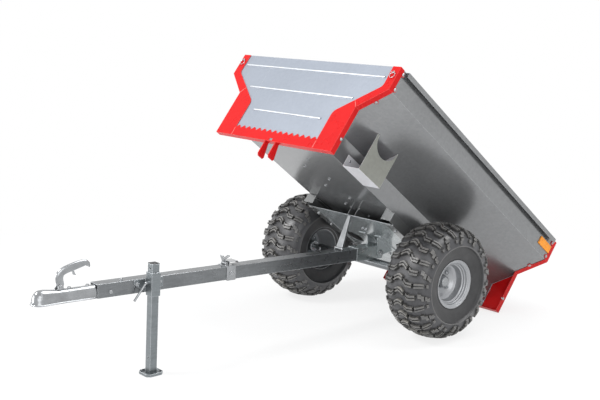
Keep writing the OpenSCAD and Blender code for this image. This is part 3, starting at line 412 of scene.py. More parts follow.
def rubber(name):
    """Tyre rubber: dark with painted shadow in the gaps, and pale on the top edges of the blocks,
    partly dust and wear and partly painted highlight.
    """
    s = Shader(name)
    edge = s.soft_edges(radius=0.0016)
    dust = s.noise(16, 5, 0.6)
    grain = s.noise(900, 2, 0.5)
    base = s.ramp(dust, (0.3, (0.045, 0.045, 0.048)), (0.75, (0.088, 0.086, 0.090)))
    grains = s.ramp(grain, (0.3, (0.032, 0.032, 0.034)), (0.8, (0.090, 0.090, 0.095)))
    base = s.blend(base, grains, 0.3)
    # Pale wear and dust, with a painted highlight, where the mesh's value is high on the blocks'
    # top edges
    worn_highlight = s.ramp(s.noise(40, 4, 0.6), (0.35, (0.28, 0.27, 0.25)), (0.7, (0.60, 0.56, 0.49)))
    base = s.blend(base, worn_highlight, s.spread(s.attribute("wear_and_highlight"), 0.0, 0.9))
    # Painted highlight on the sharp edges
    base = s.paint_highlight(base, edge, (0.30, 0.29, 0.27), 0.35)
    smooth = s.ramp(dust, (0.3, (0.022, 0.022, 0.023)), (0.8, (0.050, 0.049, 0.050)))
    base = s.blend(base, smooth, s.attribute("sidewall"))
    # Painted shade: darker in the wheel's hollow, and a nearly black painted shadow in the gaps
    # between the blocks
    hollow_painted_shade = s.ramp(s.openness(distance=0.11), (0.25, grey(0.25)), (0.95, grey(1.0)))
    base = s.blend(base, hollow_painted_shade, 1.0, "MULTIPLY")
    gap_painted_shadow = s.ramp(s.openness(distance=0.016), (0.30, grey(0.0)), (0.90, grey(1.0)))
    black = s.ramp(dust, (0.2, (0.010, 0.010, 0.010)), (0.8, (0.016, 0.015, 0.015)))
    s.colour(s.blend(black, base, gap_painted_shadow))
    s.rough(s.spread(s.noise(28, 3), 0.28, 0.44))
    s.set(Specular_IOR_Level=0.5)
    s.bump(grain, 0.25, 0.0003)
    return s.mat


def rim_paint(name):
    """Silver paint of a pressed rim, with its fine flake."""
    s = Shader(name)
    edge = s.soft_edges(radius=0.0008)
    flake = s.cells(1400)
    clouds = s.noise(12, 3)
    base = s.blend(s.ramp(clouds, (0.3, (0.33, 0.34, 0.36)), (0.7, (0.40, 0.41, 0.43))),
                   s.ramp(flake, (0.0, grey(0.29)), (1.0, grey(0.46))), 0.4)
    # Painted highlight on the edges
    s.colour(s.paint_highlight(base, edge, (0.80, 0.81, 0.84), 0.5))
    s.rough(s.spread(s.noise(30, 3), 0.34, 0.46))
    s.set(Metallic=0.6, Coat_Weight=0.2, Coat_Roughness=0.12)
    s.bump(s.noise(300, 2), 0.05, 0.0003)
    return s.mat


def black_plastic(name):
    """Dull black plastic."""
    s = Shader(name)
    grain = s.noise(700, 2)
    s.colour(s.ramp(s.noise(30, 3), (0.3, (0.012, 0.012, 0.013)), (0.7, (0.03, 0.03, 0.032))))
    s.rough(s.spread(grain, 0.4, 0.55))
    s.bump(grain, 0.2, 0.0003)
    return s.mat


def lens(name):
    """Orange reflector with its small prisms."""
    s = Shader(name)
    prisms = s.cells(300)
    s.colour(s.ramp(prisms, (0.0, (0.85, 0.24, 0.0)), (1.0, (1.0, 0.38, 0.003))))
    s.rough(s.spread(s.noise(60, 2), 0.12, 0.2))
    s.set(Coat_Weight=0.25, Coat_Roughness=0.05, Specular_IOR_Level=0.3)
    s.bump(prisms, 0.3, 0.0008)
    return s.mat


def paint_nodes():
    """Gives every node its material, and returns those that own pieces share."""
    # Name, level, spread of the clouds, limits of the roughness, tint, share of metal
    side = galvanised_sheet("side_sheet", 0.26)
    # The hatches are the sides' galvanised sheet made paler and bluer: painted light
    hatch_painted_light = galvanised_sheet("hatch_sheet_painted_light", 0.33, 0.05, (0.28, 0.40), (0.93, 1.02, 1.18), 0.55)
    under = galvanised_sheet("under_sheet", 0.28, 0.14, (0.10, 0.20), (1.0, 1.02, 1.02))
    pocket = pocket_sheet("pocket_sheet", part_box("side_pocket")[1].x - 0.001)
    # The cradle plate and cheeks are the same sheet made paler: painted reflection
    plate_painted_reflection = galvanised_sheet("plate_sheet_painted_reflection", 0.46, 0.12, (0.10, 0.18), (0.96, 1.03, 1.05), 0.60)
    shoe = galvanised_steel("shoe_zinc", 0.40, (0.22, 0.36), (0.94, 1.03, 1.04))
    dull = galvanised_steel("drawbar_zinc", 0.19, (0.22, 0.36))
    leg = galvanised_steel("leg_zinc", 0.22, (0.26, 0.40), (0.94, 1.03, 1.08))
    bright = zinc_plate("bright_zinc")
    soft = zinc_plate("soft_zinc", 0.30, (0.24, 0.38))
    red = powder_coat("red_coat")
    silver = rim_paint("silver_paint")
    black = black_plastic("black_cap")
    amber = lens("orange_lens")
    looks = {
        side: ("near_side", "far_side"),
        hatch_painted_light: ("front_hatch", "rear_hatch"),
        under: ("cradle_rails", "cradle_spine"),
        plate_painted_reflection: ("cradle_plate", "pivot_cheeks"),
        pocket: ("side_pocket",),
        dull: ("drawbar", "axle_tube", "wheel_spindles"),
        shoe: ("drawbar_shoe",),
        leg: ("leg_sleeve", "leg_tube", "leg_foot", "near_hub", "far_hub"),
        soft: ("tip_stay", "stay_bracket", "catch_bracket", "catch_lever", "spindle_bolts"),
        red: ("front_frame", "rear_frame", "guide_lugs"),
        silver: ("near_rim", "far_rim"),
        black: ("leg_plug",),
        amber: ("reflectors",),
    }
    for node in nodes.values():
        set_material(node, bright)
    for material, names in looks.items():
        for name in names:
            set_material(nodes[name], material)
    return bright, hatch_painted_light, silver


def set_material(obj, material):
    """The material in every slot of the object, without a change to its mesh."""
    if not obj.material_slots:
        obj.data.materials.append(material)
    for holder in obj.material_slots:
        holder.link = "OBJECT"
        holder.material = material


# Pieces

def mesh_data(name, mesh, smooth=False):
    """The data of a new piece from its bmesh, which is freed."""
    data = bpy.data.meshes.new(name)
    mesh.to_mesh(data)
    mesh.free()
    if smooth:
        for face in data.polygons:
            face.use_smooth = True
    return data


def place(name, data, material, body, slot, *replaced):
    """A piece of the given body, in place of the nodes named last; the slot is not used."""
    obj = bpy.data.objects.new(name, data)
    bpy.context.collection.objects.link(obj)
    obj.data.materials.append(material)
    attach(obj, body)
    if replaced:
        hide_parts(*replaced)
    return obj


def bevelled(obj, width, segments, angle, harden=True):
    """The piece with bevels on edges sharper than the angle, in degrees."""
    bevel = obj.modifiers.new("edges", "BEVEL")
    bevel.width = width
    bevel.segments = segments
    bevel.limit_method = "ANGLE"
    bevel.angle_limit = math.radians(angle)
    bevel.harden_normals = harden
    return obj


def loft(name, rings, material, body, slot, *replaced):
    """A closed skin over rings of points, as a smooth piece with softened edges."""
    mesh = bmesh.new()
    rings = [[mesh.verts.new(point) for point in ring] for ring in rings]
    n = len(rings[0])
    for a, b in zip(rings, rings[1:]):
        for i in range(n):
            mesh.faces.new((a[i], a[(i + 1) % n], b[(i + 1) % n], b[i]))
    mesh.faces.new(rings[0][::-1])
    mesh.faces.new(rings[-1])
    bmesh.ops.recalc_face_normals(mesh, faces=mesh.faces)
    data = mesh_data(name, mesh, smooth=True)
    return bevelled(place(name, data, material, body, slot, *replaced),
                    width=0.0008, segments=2, angle=50)


def arch(half, low, high, power, steps):
    """Points of an arch from its left foot to its right one; power 1 is round, 0 is square."""
    points = []
    for k in range(steps + 1):
        a = math.pi * (1 - k / steps)
        c, h = math.cos(a), math.sin(a)
        x = math.copysign(abs(c) ** power, c) * half
        points.append((x, low + (high - low) * abs(h) ** power))
    return points


def arc(radius, angle, steps=10):
    """Points of a round arc about the origin, from the first axis through the angle."""
    turns = [angle * k / steps for k in range(steps + 1)]
    return [(radius * math.cos(a), radius * math.sin(a)) for a in turns]


# Tyres

# The rim's radii below the bead and at its flange, and the height of the lugs
RIM_SEAT_R = 0.1015
RIM_FLANGE_R = 0.1175
LUG_H = 0.0150
# Pitches of the tread, the place of the side blocks between two, points round the carcass
PITCHES = 28
SIDE_BLOCKS_AT = 0.47
CARCASS_STEPS = 144
# The carcass is wider by this on the trailer's side, fully so from this offset on
INNER_BULGE, BULGE_FROM = 0.006, 0.1
# Depths below the crown: the crest of the raised ring, with its wear and painted highlight, and the
# smooth wall
RING_TOP, RING_FOOT, RING_WEAR_HIGHLIGHT = 0.075, 0.078, 0.22
SMOOTH_FROM = 0.081
# Blocks: depth of the root, slope of the faces, width of the groove along the middle; width of
# the band of wear and painted highlight and its greatest share of the block; inset and share of
# height of the foot
ROOT, DRAFT, GROOVE = 0.004, 0.002, 0.0026
WORN_HIGHLIGHT_BAND, BAND_SHARE = 0.0025, 0.35
FOOT_INSET, FOOT_HEIGHT = 0.003, 0.6
BLOCK_FACE = 1

# Tread blocks as rows of (length along the section, low edge, high edge), the edges measured
# round the tyre. The chevron stands astride the middle, a little to one side
CHEVRON = [(-0.019, -0.018, 0.007), (0.0, -0.010, 0.015), (0.012, -0.013, 0.012),
           (0.032, -0.026, -0.001)]
# Far from the chevron: a hooked bar, then stepped blocks on the shoulder
FAR_BARS = [
    [(0.041, -0.005, 0.021), (0.052, -0.015, 0.012), (0.070, -0.015, 0.011),
     (0.089, -0.013, 0.014)],
]
FAR_BLOCKS = [
    [(0.098, -0.002, 0.023), (0.114, -0.005, 0.019), (0.1155, -0.018, 0.012),
     (0.128, -0.020, 0.009)],
    [(0.1285, -0.020, 0.006), (0.140, -0.022, 0.003), (0.1412, -0.030, -0.005),
     (0.158, -0.031, -0.008)],
]
# Close to the chevron: a hooked bar and an outer bar, then a small block on the shoulder
CLOSE_BARS = [
    [(0.026, -0.001, 0.024), (0.042, -0.014, 0.011), (0.072, -0.014, 0.010)],
    [(0.079, -0.015, 0.010), (0.100, -0.012, 0.013), (0.124, -0.010, 0.015)],
]
CLOSE_BLOCKS = [[(0.132, -0.006, 0.016), (0.148, -0.008, 0.013)]]


def tyre_section(tyre_r):
    """Outer section from the crown to the bead, as (offset, radius) points."""
    crown_r = tyre_r - LUG_H
    # Offset from the middle, depth below the crown
    wall = [
        (0.0, 0.0), (0.030, 0.0016), (0.060, 0.0065), (0.085, 0.0145), (0.104, 0.026),
        (0.116, 0.040), (0.1225, 0.055), (0.1265, 0.069), (0.1295, 0.0735), (0.1305, 0.0765),
        (0.1295, 0.0795), (0.1190, 0.0820), (0.1160, 0.089), (0.1135, 0.101), (0.1105, 0.115),
        (0.1080, 0.127),
    ]
    foot = [
        (0.1062, RIM_FLANGE_R + 0.006), (0.104, RIM_FLANGE_R + 0.002),
        (0.1005, RIM_FLANGE_R - 0.001), (0.0965, RIM_SEAT_R + 0.0004),
        (0.085, RIM_SEAT_R + 0.0004),
    ]
    return [(x, crown_r - depth) for x, depth in wall] + foot


class Section:
    """The tyre's section as a curve with a length, so that blocks can follow it."""

    def __init__(self, points):
        self.points = [Vector(p) for p in points]
        self.at = [0.0]
        for a, b in zip(self.points, self.points[1:]):
            self.at.append(self.at[-1] + (b - a).length)

    def place(self, s):
        """Point and outward normal at length s from the crown, s negative on the other side."""
        side = -1 if s < 0 else 1
        s = min(abs(s), self.at[-1] - 1e-6)
        i = max(k for k, v in enumerate(self.at) if v <= s)
        a, b = self.points[i], self.points[i + 1]
        t = (s - self.at[i]) / (self.at[i + 1] - self.at[i])

        def edge_normal(k):
            k = min(max(k, 0), len(self.points) - 2)
            d = (self.points[k + 1] - self.points[k]).normalized()
            return Vector((-d.y, d.x))
        n0 = (edge_normal(i - 1) + edge_normal(i)) if i else Vector((0, 1))
        n1 = edge_normal(i) + edge_normal(i + 1)
        n = n0.normalized().lerp(n1.normalized(), t).normalized()
        p = a.lerp(b, t)
        return Vector((side * p.x, p.y)), Vector((side * n.x, n.y))


def tread_block(mesh, section, centre, spans, height, worn_highlight=0.5):
    """A block that follows the section. spans are (length, low edge, high edge), the edges
    measured round the tyre from centre (an angle). Its high edge carries the wear and a painted
    highlight."""
    rings = []
    layer = mesh.verts.layers.float["wear_and_highlight"]
    crown = section.points[0].y
    for k, (s, low, high) in enumerate(spans):
        p, n = section.place(s)
        shift = DRAFT if k == 0 else -DRAFT if k == len(spans) - 1 else 0
        q, m = section.place(s + shift)
        base = p - n * ROOT
        top = q + m * height(abs(s))
        band = min(WORN_HIGHLIGHT_BAND, (high - low) * BAND_SHARE)
        # From the root at the low edge over the top to the root at the high one, with the wear and
        # painted highlight
        corners = ((base, low, 0.0), (top, low + DRAFT, 0.25), (top, high - DRAFT - band, 0.1),
                   (top, high - DRAFT, worn_highlight), (base, high, worn_highlight * 0.5))
        ring = []
        for point, edge, wear_and_highlight in corners:
            a = centre + edge / crown
            vert = mesh.verts.new((point.x, point.y * math.sin(a), point.y * math.cos(a)))
            vert[layer] = wear_and_highlight
            ring.append(vert)
        rings.append(ring)
    n = len(rings[0])
    faces = [mesh.faces.new((a[i], a[(i + 1) % n], b[(i + 1) % n], b[i]))
             for a, b in zip(rings, rings[1:]) for i in range(n)]
    faces += [mesh.faces.new(rings[0][::-1]), mesh.faces.new(rings[-1])]
    for face in faces:
        face.material_index = BLOCK_FACE


def siped_block(mesh, section, centre, spans, height, worn_highlight=0.5):
    """A block with a narrow groove along its middle: two bars on a lower foot."""
    middle = [(low + high) / 2 for s, low, high in spans]
    upper = [(s, m + GROOVE / 2, high) for (s, low, high), m in zip(spans, middle)]
    lower = [(s, low, m - GROOVE / 2) for (s, low, high), m in zip(spans, middle)]
    foot = [(s, low + FOOT_INSET, high - FOOT_INSET) for s, low, high in spans]
    tread_block(mesh, section, centre, upper, height, worn_highlight)
    tread_block(mesh, section, centre, lower, height, worn_highlight)
    tread_block(mesh, section, centre, foot, lambda s: height(s) * FOOT_HEIGHT)


def lug_height(s):
    """Lugs are tallest on the crown and fade down the shoulder."""
    short, fall, shoulder, width = 0.0005, 0.0075, 0.075, 0.080
    return LUG_H - short - fall * max(0.0, min(1.0, (s - shoulder) / width))


def on_side(spans, side):
    """A block's rows on the side 1 or -1, from the least length to the greatest."""
    return [(side * x, low, high) for x, low, high in spans][::side]


def tyre_mesh(name, tyre_r):
    """Carcass and tread round the X axis, the outer side towards +X."""
    mesh = bmesh.new()
    layers = mesh.verts.layers.float
    layers.new("wear_and_highlight")
    layers.new("sidewall")
    wear_and_highlight, smooth = layers["wear_and_highlight"], layers["sidewall"]
    points = tyre_section(tyre_r)
    inner = [(-x - INNER_BULGE * min(1.0, x / BULGE_FROM), r) for x, r in reversed(points[1:])]
    profile = inner + points
    rings = []
    for i in range(CARCASS_STEPS):
        a = 2 * math.pi * i / CARCASS_STEPS
        rings.append([mesh.verts.new((x, r * math.sin(a), r * math.cos(a))) for x, r in profile])
        for vert, (x, r) in zip(rings[-1], profile):
            depth = tyre_r - LUG_H - r
            vert[smooth] = 1.0 if depth > SMOOTH_FROM else 0.0
            vert[wear_and_highlight] = RING_WEAR_HIGHLIGHT if RING_TOP < depth < RING_FOOT else 0.0
    for i in range(CARCASS_STEPS):
        a, b = rings[i], rings[(i + 1) % CARCASS_STEPS]
        for k in range(len(profile) - 1):
            mesh.faces.new((a[k], b[k], b[k + 1], a[k + 1]))
    section = Section(points)
    step = 2 * math.pi / PITCHES
    for i in range(PITCHES):
        centre = math.pi + i * step
        between = centre - SIDE_BLOCKS_AT * step
        odd = 1 if i % 2 else -1
        siped_block(mesh, section, centre, on_side(CHEVRON, odd), lug_height, 1.0)
        for side in (1, -1):
            far = side == odd
            for spans in FAR_BARS if far else CLOSE_BARS:
                siped_block(mesh, section, between, on_side(spans, side), lug_height)
            for spans in FAR_BLOCKS if far else CLOSE_BLOCKS:
                tread_block(mesh, section, between, on_side(spans, side), lug_height)
    bmesh.ops.recalc_face_normals(mesh, faces=mesh.faces)
    return mesh_data(name, mesh)


def make_tyre(side, body, node, material):
    """Tyre of the wheel on the side 1 or -1, as high as the node it replaces."""
    low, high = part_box(node)
    data = tyre_mesh(body + "_tread", (high.z - low.z) / 2)
    at = Matrix.Translation((side * TRACK / 2, AXLE.y, AXLE.z))
    data.transform(at @ Matrix.Diagonal((side, 1, 1, 1)))
    if side < 0:
        data.flip_normals()
    # The carcass is smooth, the blocks have flat faces
    for face in data.polygons:
        face.use_smooth = face.material_index != BLOCK_FACE
        face.material_index = 0
    obj = place(body + "_tread", data, material, body, "tyre_rubber", node)
    return bevelled(obj, width=0.0018, segments=1, angle=35, harden=False)


# Rims

RIM_STEPS = 120


def revolve(name, profile, at, side):
    """A mesh turned round the wheel axis from (offset outwards, radius) points."""
    mesh = bmesh.new()
    rings = []
    for i in range(RIM_STEPS):
        a = 2 * math.pi * i / RIM_STEPS
        c, s = math.cos(a), math.sin(a)
        rings.append([mesh.verts.new((side * x, r * s, r * c)) for x, r in profile])
    for i in range(RIM_STEPS):
        a, b = rings[i], rings[(i + 1) % RIM_STEPS]
        for k in range(len(profile)):
            j = (k + 1) % len(profile)
            mesh.faces.new((a[k], b[k], b[j], a[j]))
    bmesh.ops.recalc_face_normals(mesh, faces=mesh.faces)
    bmesh.ops.translate(mesh, verts=mesh.verts, vec=at)
    return mesh_data(name, mesh, smooth=True)


def make_rim(side, body, node, material):
    """Pressed rim of the wheel on the side 1 or -1."""
    # From the bore of the disc out to the flange, and back behind the seat
    front = [
        (0.0210, 0.034), (0.0210, 0.060), (0.0235, 0.064), (0.0330, 0.0720), (0.0395, 0.0790),
        (0.0410, 0.0850), (0.0430, 0.0865), (0.0640, 0.0880), (0.0740, 0.0890), (0.0760, 0.0940),
        (0.0775, 0.0950), (0.0845, 0.0955), (0.0860, 0.0988), (0.0875, 0.0998), (0.0945, 0.1002),
        (0.0975, 0.1018), (0.0985, 0.1062), (0.1000, 0.1072), (0.1012, 0.1078), (0.1020, 0.1118),
        (0.1038, 0.1128), (0.1046, 0.1160), (0.1065, 0.1168), (0.1065, 0.1172), (0.1055, 0.1175),
        (0.1028, 0.1174),
    ]
    behind = [
        (0.1015, 0.1150), (0.1005, 0.1090), (0.0980, 0.1030), (0.0965, 0.1013), (0.0815, 0.1013),
        (0.0740, 0.0960), (0.0600, 0.0900), (0.0260, 0.0880), (0.0, 0.0930), (-0.0815, 0.1013),
        (-0.0965, 0.1013), (-0.1005, 0.1090), (-0.1022, 0.1173), (-0.1062, 0.1173),
        (-0.1062, 0.1140), (-0.1030, 0.1130), (-0.0985, 0.0990), (-0.0840, 0.0985),
        (0.0, 0.0895), (0.0180, 0.0820), (0.0180, 0.034),
    ]
    at = (side * TRACK / 2, AXLE.y, AXLE.z)
    data = revolve(body + "_rim", front + behind, at, side)
    obj = place(body + "_rim", data, material, body, "rim_silver", node)
    return bevelled(obj, width=0.0006, segments=2, angle=40)


# Coupling

# From the ball to the handle's pin, along and across the bar; foot of the shell below the ball
PIN_FROM_BALL = (0.088, 0.036)
SHELL_FOOT = -0.028
# Ears: radius, half length and foot below the pin, inner and outer face off the middle
EAR_R, EAR_HALF_L, EAR_FOOT = 0.0105, 0.019, -0.012
EAR_IN, EAR_OUT = 0.0090, 0.0130
CUP_R, CUP_INNER_R, CUP_STEPS = 0.0285, 0.0253, 32
# Thickness of the sheets
SHELL_T, HANDLE_T = 0.004, 0.0028


def make_coupling(material):
    """The pressed coupling head: a dome that runs into the shank, with a lip along its foot."""
    ball = LEVER_PIN - bar_vector(*PIN_FROM_BALL)
    # Along the bar from the ball: half width, top and power of the arch, half width of the lip
    stations = [(-0.0378, 0.0020, -0.0190, 1.0, 0.0040), (-0.0360, 0.0060, -0.0185, 1.0, 0.0122),
                (-0.0330, 0.0110, -0.0160, 1.0, 0.0188), (-0.0310, 0.0120, -0.0060, 1.0, 0.0220),
                (-0.0290, 0.0165, 0.0060, 1.0, 0.0246), (-0.0250, 0.0215, 0.0160, 1.0, 0.0286),
                (-0.0180, 0.0265, 0.0245, 1.0, 0.0335), (-0.0080, 0.0300, 0.0305, 0.95, 0.0371),
                (0.0030, 0.0312, 0.0320, 0.90, 0.0380), (0.0160, 0.0308, 0.0318, 0.85, 0.0375),
                (0.0340, 0.0290, 0.0300, 0.85, 0.0356), (0.0540, 0.0270, 0.0272, 0.80, 0.0334),
                (0.0760, 0.0256, 0.0252, 0.76, 0.0318), (0.0960, 0.0250, 0.0250, 0.74, 0.0310),
                (0.2380, 0.0250, 0.0250, 0.74, 0.0310), (0.2460, 0.0250, 0.0250, 0.74, 0.0255),
                (0.3600, 0.0250, 0.0250, 0.74, 0.0255)]
    low = SHELL_FOOT
    lip_top, fillet_top, wall_foot, fillet = low + 0.0035, low + 0.0045, low + 0.008, 0.0012
    least_half, least_top = 0.0006, low + 0.002
    rings = []
    for y, wall, top, power, lip in stations:
        outline = [(-lip, low), (-lip, lip_top), (-wall - fillet, fillet_top)]
        outline += arch(wall, wall_foot, top, power, 14)
        outline += [(wall + fillet, fillet_top), (lip, lip_top), (lip, low)]
        inner_half, inner_top = max(wall - SHELL_T, least_half), max(top - SHELL_T, least_top)
        outline += arch(inner_half, low, inner_top, power, 10)[::-1]
        rings.append([ball + Vector((x, 0, 0)) + bar_vector(y, z) for x, z in outline])
    loft("coupling_shell", rings, material, "chassis", "zinc", "coupling_head")
    # Ears for the handle's pin
    ear = [(-EAR_HALF_L, EAR_FOOT), (EAR_HALF_L, EAR_FOOT)] + arc(EAR_R, math.pi)
    for name, inner, outer in (("ear_near", EAR_IN, EAR_OUT), ("ear_far", -EAR_OUT, -EAR_IN)):
        rings = [[LEVER_PIN + Vector((x, 0, 0)) + bar_vector(y, z) for y, z in ear]
                 for x in (inner, outer)]
        loft("coupling_" + name, rings, material, "chassis", "zinc")
    # Cup for the ball
    cup = arc(CUP_R, math.pi / 2)[::-1]
    cup += [(CUP_R, low + 0.001), (CUP_INNER_R, low + 0.001)]
    cup += arc(CUP_INNER_R, math.pi / 2)
    rings = []
    for k in range(CUP_STEPS + 1):
        a = 2 * math.pi * k / CUP_STEPS
        rings.append([ball + Vector((x * math.cos(a), 0, 0)) + bar_vector(x * math.sin(a), z)
                      for x, z in cup])
    loft("coupling_cup", rings, material, "chassis", "zinc")


def make_handle(material):
    """The gooseneck handle: a deep pressed channel with a hooked tip, open on its underside."""
    # Middle line along and above the bar; half width, depth above and below the line
    stations = [(0.000, -0.0095, 0.0085, 0.0040, 0.0050), (0.000, -0.0078, 0.0085, 0.0072, 0.0090),
                (0.000, -0.0020, 0.0085, 0.0100, 0.0135), (-0.001, 0.0060, 0.0085, 0.0115, 0.0175),
                (-0.004, 0.0220, 0.0088, 0.0135, 0.0170), (-0.005, 0.0380, 0.0094, 0.0140, 0.0160),
                (-0.001, 0.052, 0.0100, 0.0138, 0.0158), (0.009, 0.0625, 0.0103, 0.0132, 0.0160),
                (0.024, 0.0695, 0.0105, 0.0130, 0.0165), (0.044, 0.0755, 0.0106, 0.0130, 0.0170),
                (0.066, 0.0815, 0.0107, 0.0128, 0.0170), (0.088, 0.0865, 0.0108, 0.0125, 0.0160),
                (0.106, 0.0895, 0.0109, 0.0118, 0.0140), (0.118, 0.0885, 0.0110, 0.0105, 0.0115),
                (0.1260, 0.0820, 0.0110, 0.0090, 0.0075), (0.1290, 0.0730, 0.0108, 0.0065, 0.0045),
                (0.1295, 0.0680, 0.0100, 0.0050, 0.0030)]
    rings = []
    for k, (y, z, half, above, below) in enumerate(stations):
        before, after = stations[max(k - 1, 0)], stations[min(k + 1, len(stations) - 1)]
        step = Vector((after[0] - before[0], after[1] - before[1])).normalized()
        out = Vector((-step.y, step.x))
        outline = arch(half, -below, above, 0.75, 16)
        outline += arch(half - HANDLE_T, -below, above - HANDLE_T, 0.75, 12)[::-1]
        rings.append([LEVER_PIN + Vector((x, 0, 0)) + bar_vector(y + out.x * h, z + out.y * h)
                      for x, h in outline])
    loft("handle_channel", rings, material, "coupling_lever", "zinc", "coupling_handle")


# Hatches, ribs and seams, in the lowered box's frame

# Cuts through the hatches: half width at the walls, fold of wall and slope, run of the slope
HATCH_WALL_X = 0.2970
HATCH_FOLD = (0.2965, 0.1985)
HATCH_SLOPE = (0.2509, 0.1963)
# Distances below which points are one, cuts go through a point, points lie in the front face
WELD_TOLERANCE, CUT_TOLERANCE, FACE_TOLERANCE = 1e-5, 1e-6, 0.0004
# Beads: pitch of their rings, depth of their foot in the face, rise at their ends
BEAD_STEP, BEAD_SINK, BEAD_END = 0.006, 0.0006, 0.15
RIB_HALF, RIB_H = 0.0028, 0.0009
SEAM_HALF, SEAM_H, SEAM_WAVES = 0.0013, 0.0006, 0.25
# Mitre seams of the front frame on the near side, as (x, z) ends: below the window's lower
# corner, and across the frame where it widens
SEAMS = (("foot_seam_", (0.292, 0.0975), (0.292, 0.0545)),
         ("slope_seam_", (0.4135, 0.288), (0.3876, 0.322)))


def bead(name, start, end, face_y, half, height, waves, material, slot):
    """A half-round bead along the front of the box, between two (x, z) points."""
    a, b = Vector(start), Vector(end)
    along = (b - a).normalized()
    across = Vector((-along.y, along.x))
    steps = max(8, round((b - a).length / BEAD_STEP))
    rings = []
    for k in range(steps + 1):
        t = k / steps
        reach = min(1.0, min(t, 1 - t) * (b - a).length / (2.5 * half) + BEAD_END)
        swell = reach * (1 + waves * math.sin(k * 2.1) + 0.5 * waves * math.sin(k * 0.73))
        middle = a + (b - a) * t
        section = arch(half * reach, 0.0, height * swell, 1.0, 8)
        section += [(half * reach, -BEAD_SINK), (-half * reach, -BEAD_SINK)]
        outline = []
        for w, h in section:
            spot = middle + across * w
            outline.append(box_point(spot.x, face_y - h, spot.y))
        rings.append(outline)
    return loft(name, rings, material, "load_box", slot)


def make_hatch(name, node, body, material):
    """The hatch without the corners that stick out past the box's walls, where the frame is
    bare. The middle, between the walls, and the two parts above the slopes are cut out."""
    source = nodes[node]
    turn = Matrix.Rotation(TIP, 4, "X") @ Matrix.Translation(-PIVOT)
    whole = bmesh.new()
    up = Vector((-HATCH_SLOPE[1], 0, HATCH_SLOPE[0])).normalized()
    for side in (0, 1, -1):
        part = bmesh.new()
        part.from_mesh(source.data)
        bmesh.ops.remove_doubles(part, verts=part.verts, dist=WELD_TOLERANCE)
        part.transform(turn)
        if side == 0:
            cuts = [((HATCH_WALL_X, 0, 0), (1, 0, 0)), ((-HATCH_WALL_X, 0, 0), (-1, 0, 0))]
        else:
            cuts = [((side * HATCH_WALL_X, 0, 0), (-side, 0, 0)),
                    ((side * HATCH_FOLD[0], 0, HATCH_FOLD[1]), (-side * up.x, 0, -up.z))]
        for at, away in cuts:
            geometry = part.verts[:] + part.edges[:] + part.faces[:]
            bmesh.ops.bisect_plane(part, geom=geometry, dist=CUT_TOLERANCE, plane_co=at,
                                   plane_no=away, clear_outer=True)
            bmesh.ops.holes_fill(part, edges=[e for e in part.edges if e.is_boundary])
        piece = mesh_data("cut", part)
        whole.from_mesh(piece)
        bpy.data.meshes.remove(piece)
    whole.transform(turn.inverted())
    return place(name, mesh_data(name, whole), material, body, "galvanised_sheet", node)


def make_front_details():
    """Pale beads on the crests of the front hatch's ribs as a painted highlight, and the seams of
    the front frame.
    """
    # Pale zinc on the rib crests: painted highlight
    rib_painted_highlight = zinc_plate("rib_painted_highlight", 0.85, (0.25, 0.4))
    hatch_points = box_points("front_hatch")
    front = min(point.y for point in hatch_points)
    # The ribs' ends on the near side, a lower and an upper point to each, the shortest rib first
    crest = sorted({(round(point.x, 4), round(point.z, 4)) for point in hatch_points
                    if point.y < front + FACE_TOLERANCE and point.x > 0})
    for number in range(len(crest) // 2):
        (x, low), (_, high) = crest[2 * number:2 * number + 2]
        z = (low + high) / 2
        bead("rib_crest_%d" % (number + 1), (-x, z), (x, z), front, RIB_HALF, RIB_H, 0.0,
             rib_painted_highlight, "zinc")
    face = min(point.y for point in box_points("front_frame"))
    weld = weld_paint("weld_paint")
    for side, tag in SIDES:
        for name, start, end in SEAMS:
            bead(name + tag, (side * start[0], start[1]), (side * end[0], end[1]), face,
                 SEAM_HALF, SEAM_H, SEAM_WAVES, weld, "red_frame")


# Stage and light

# Radius of the floor, its gap below the part, and the distances between which it turns white
FLOOR_R, FLOOR_GAP = 14, 0.0005
NEAR_R, FAR_R = 1.3, 2.9
# Share of plain white that the floor shows to camera and glossy rays, near and far
WHITE_NEAR, WHITE_FAR = 0.80, 1.0
FILL_STRENGTH = 0.48
# Lamps: name, place, width, watts
LAMPS = (("key", (-2.2, -4.2, 5.2), 2.2, 300), ("fill", (5.0, -2.5, 2.6), 5.0, 115),
         ("low", (-3.0, -4.5, 0.9), 2.5, 90), ("top", (1.0, 1.8, 4.9), 4.2, 200))
LAMP_TARGET = Vector((0, 0, 0.4))


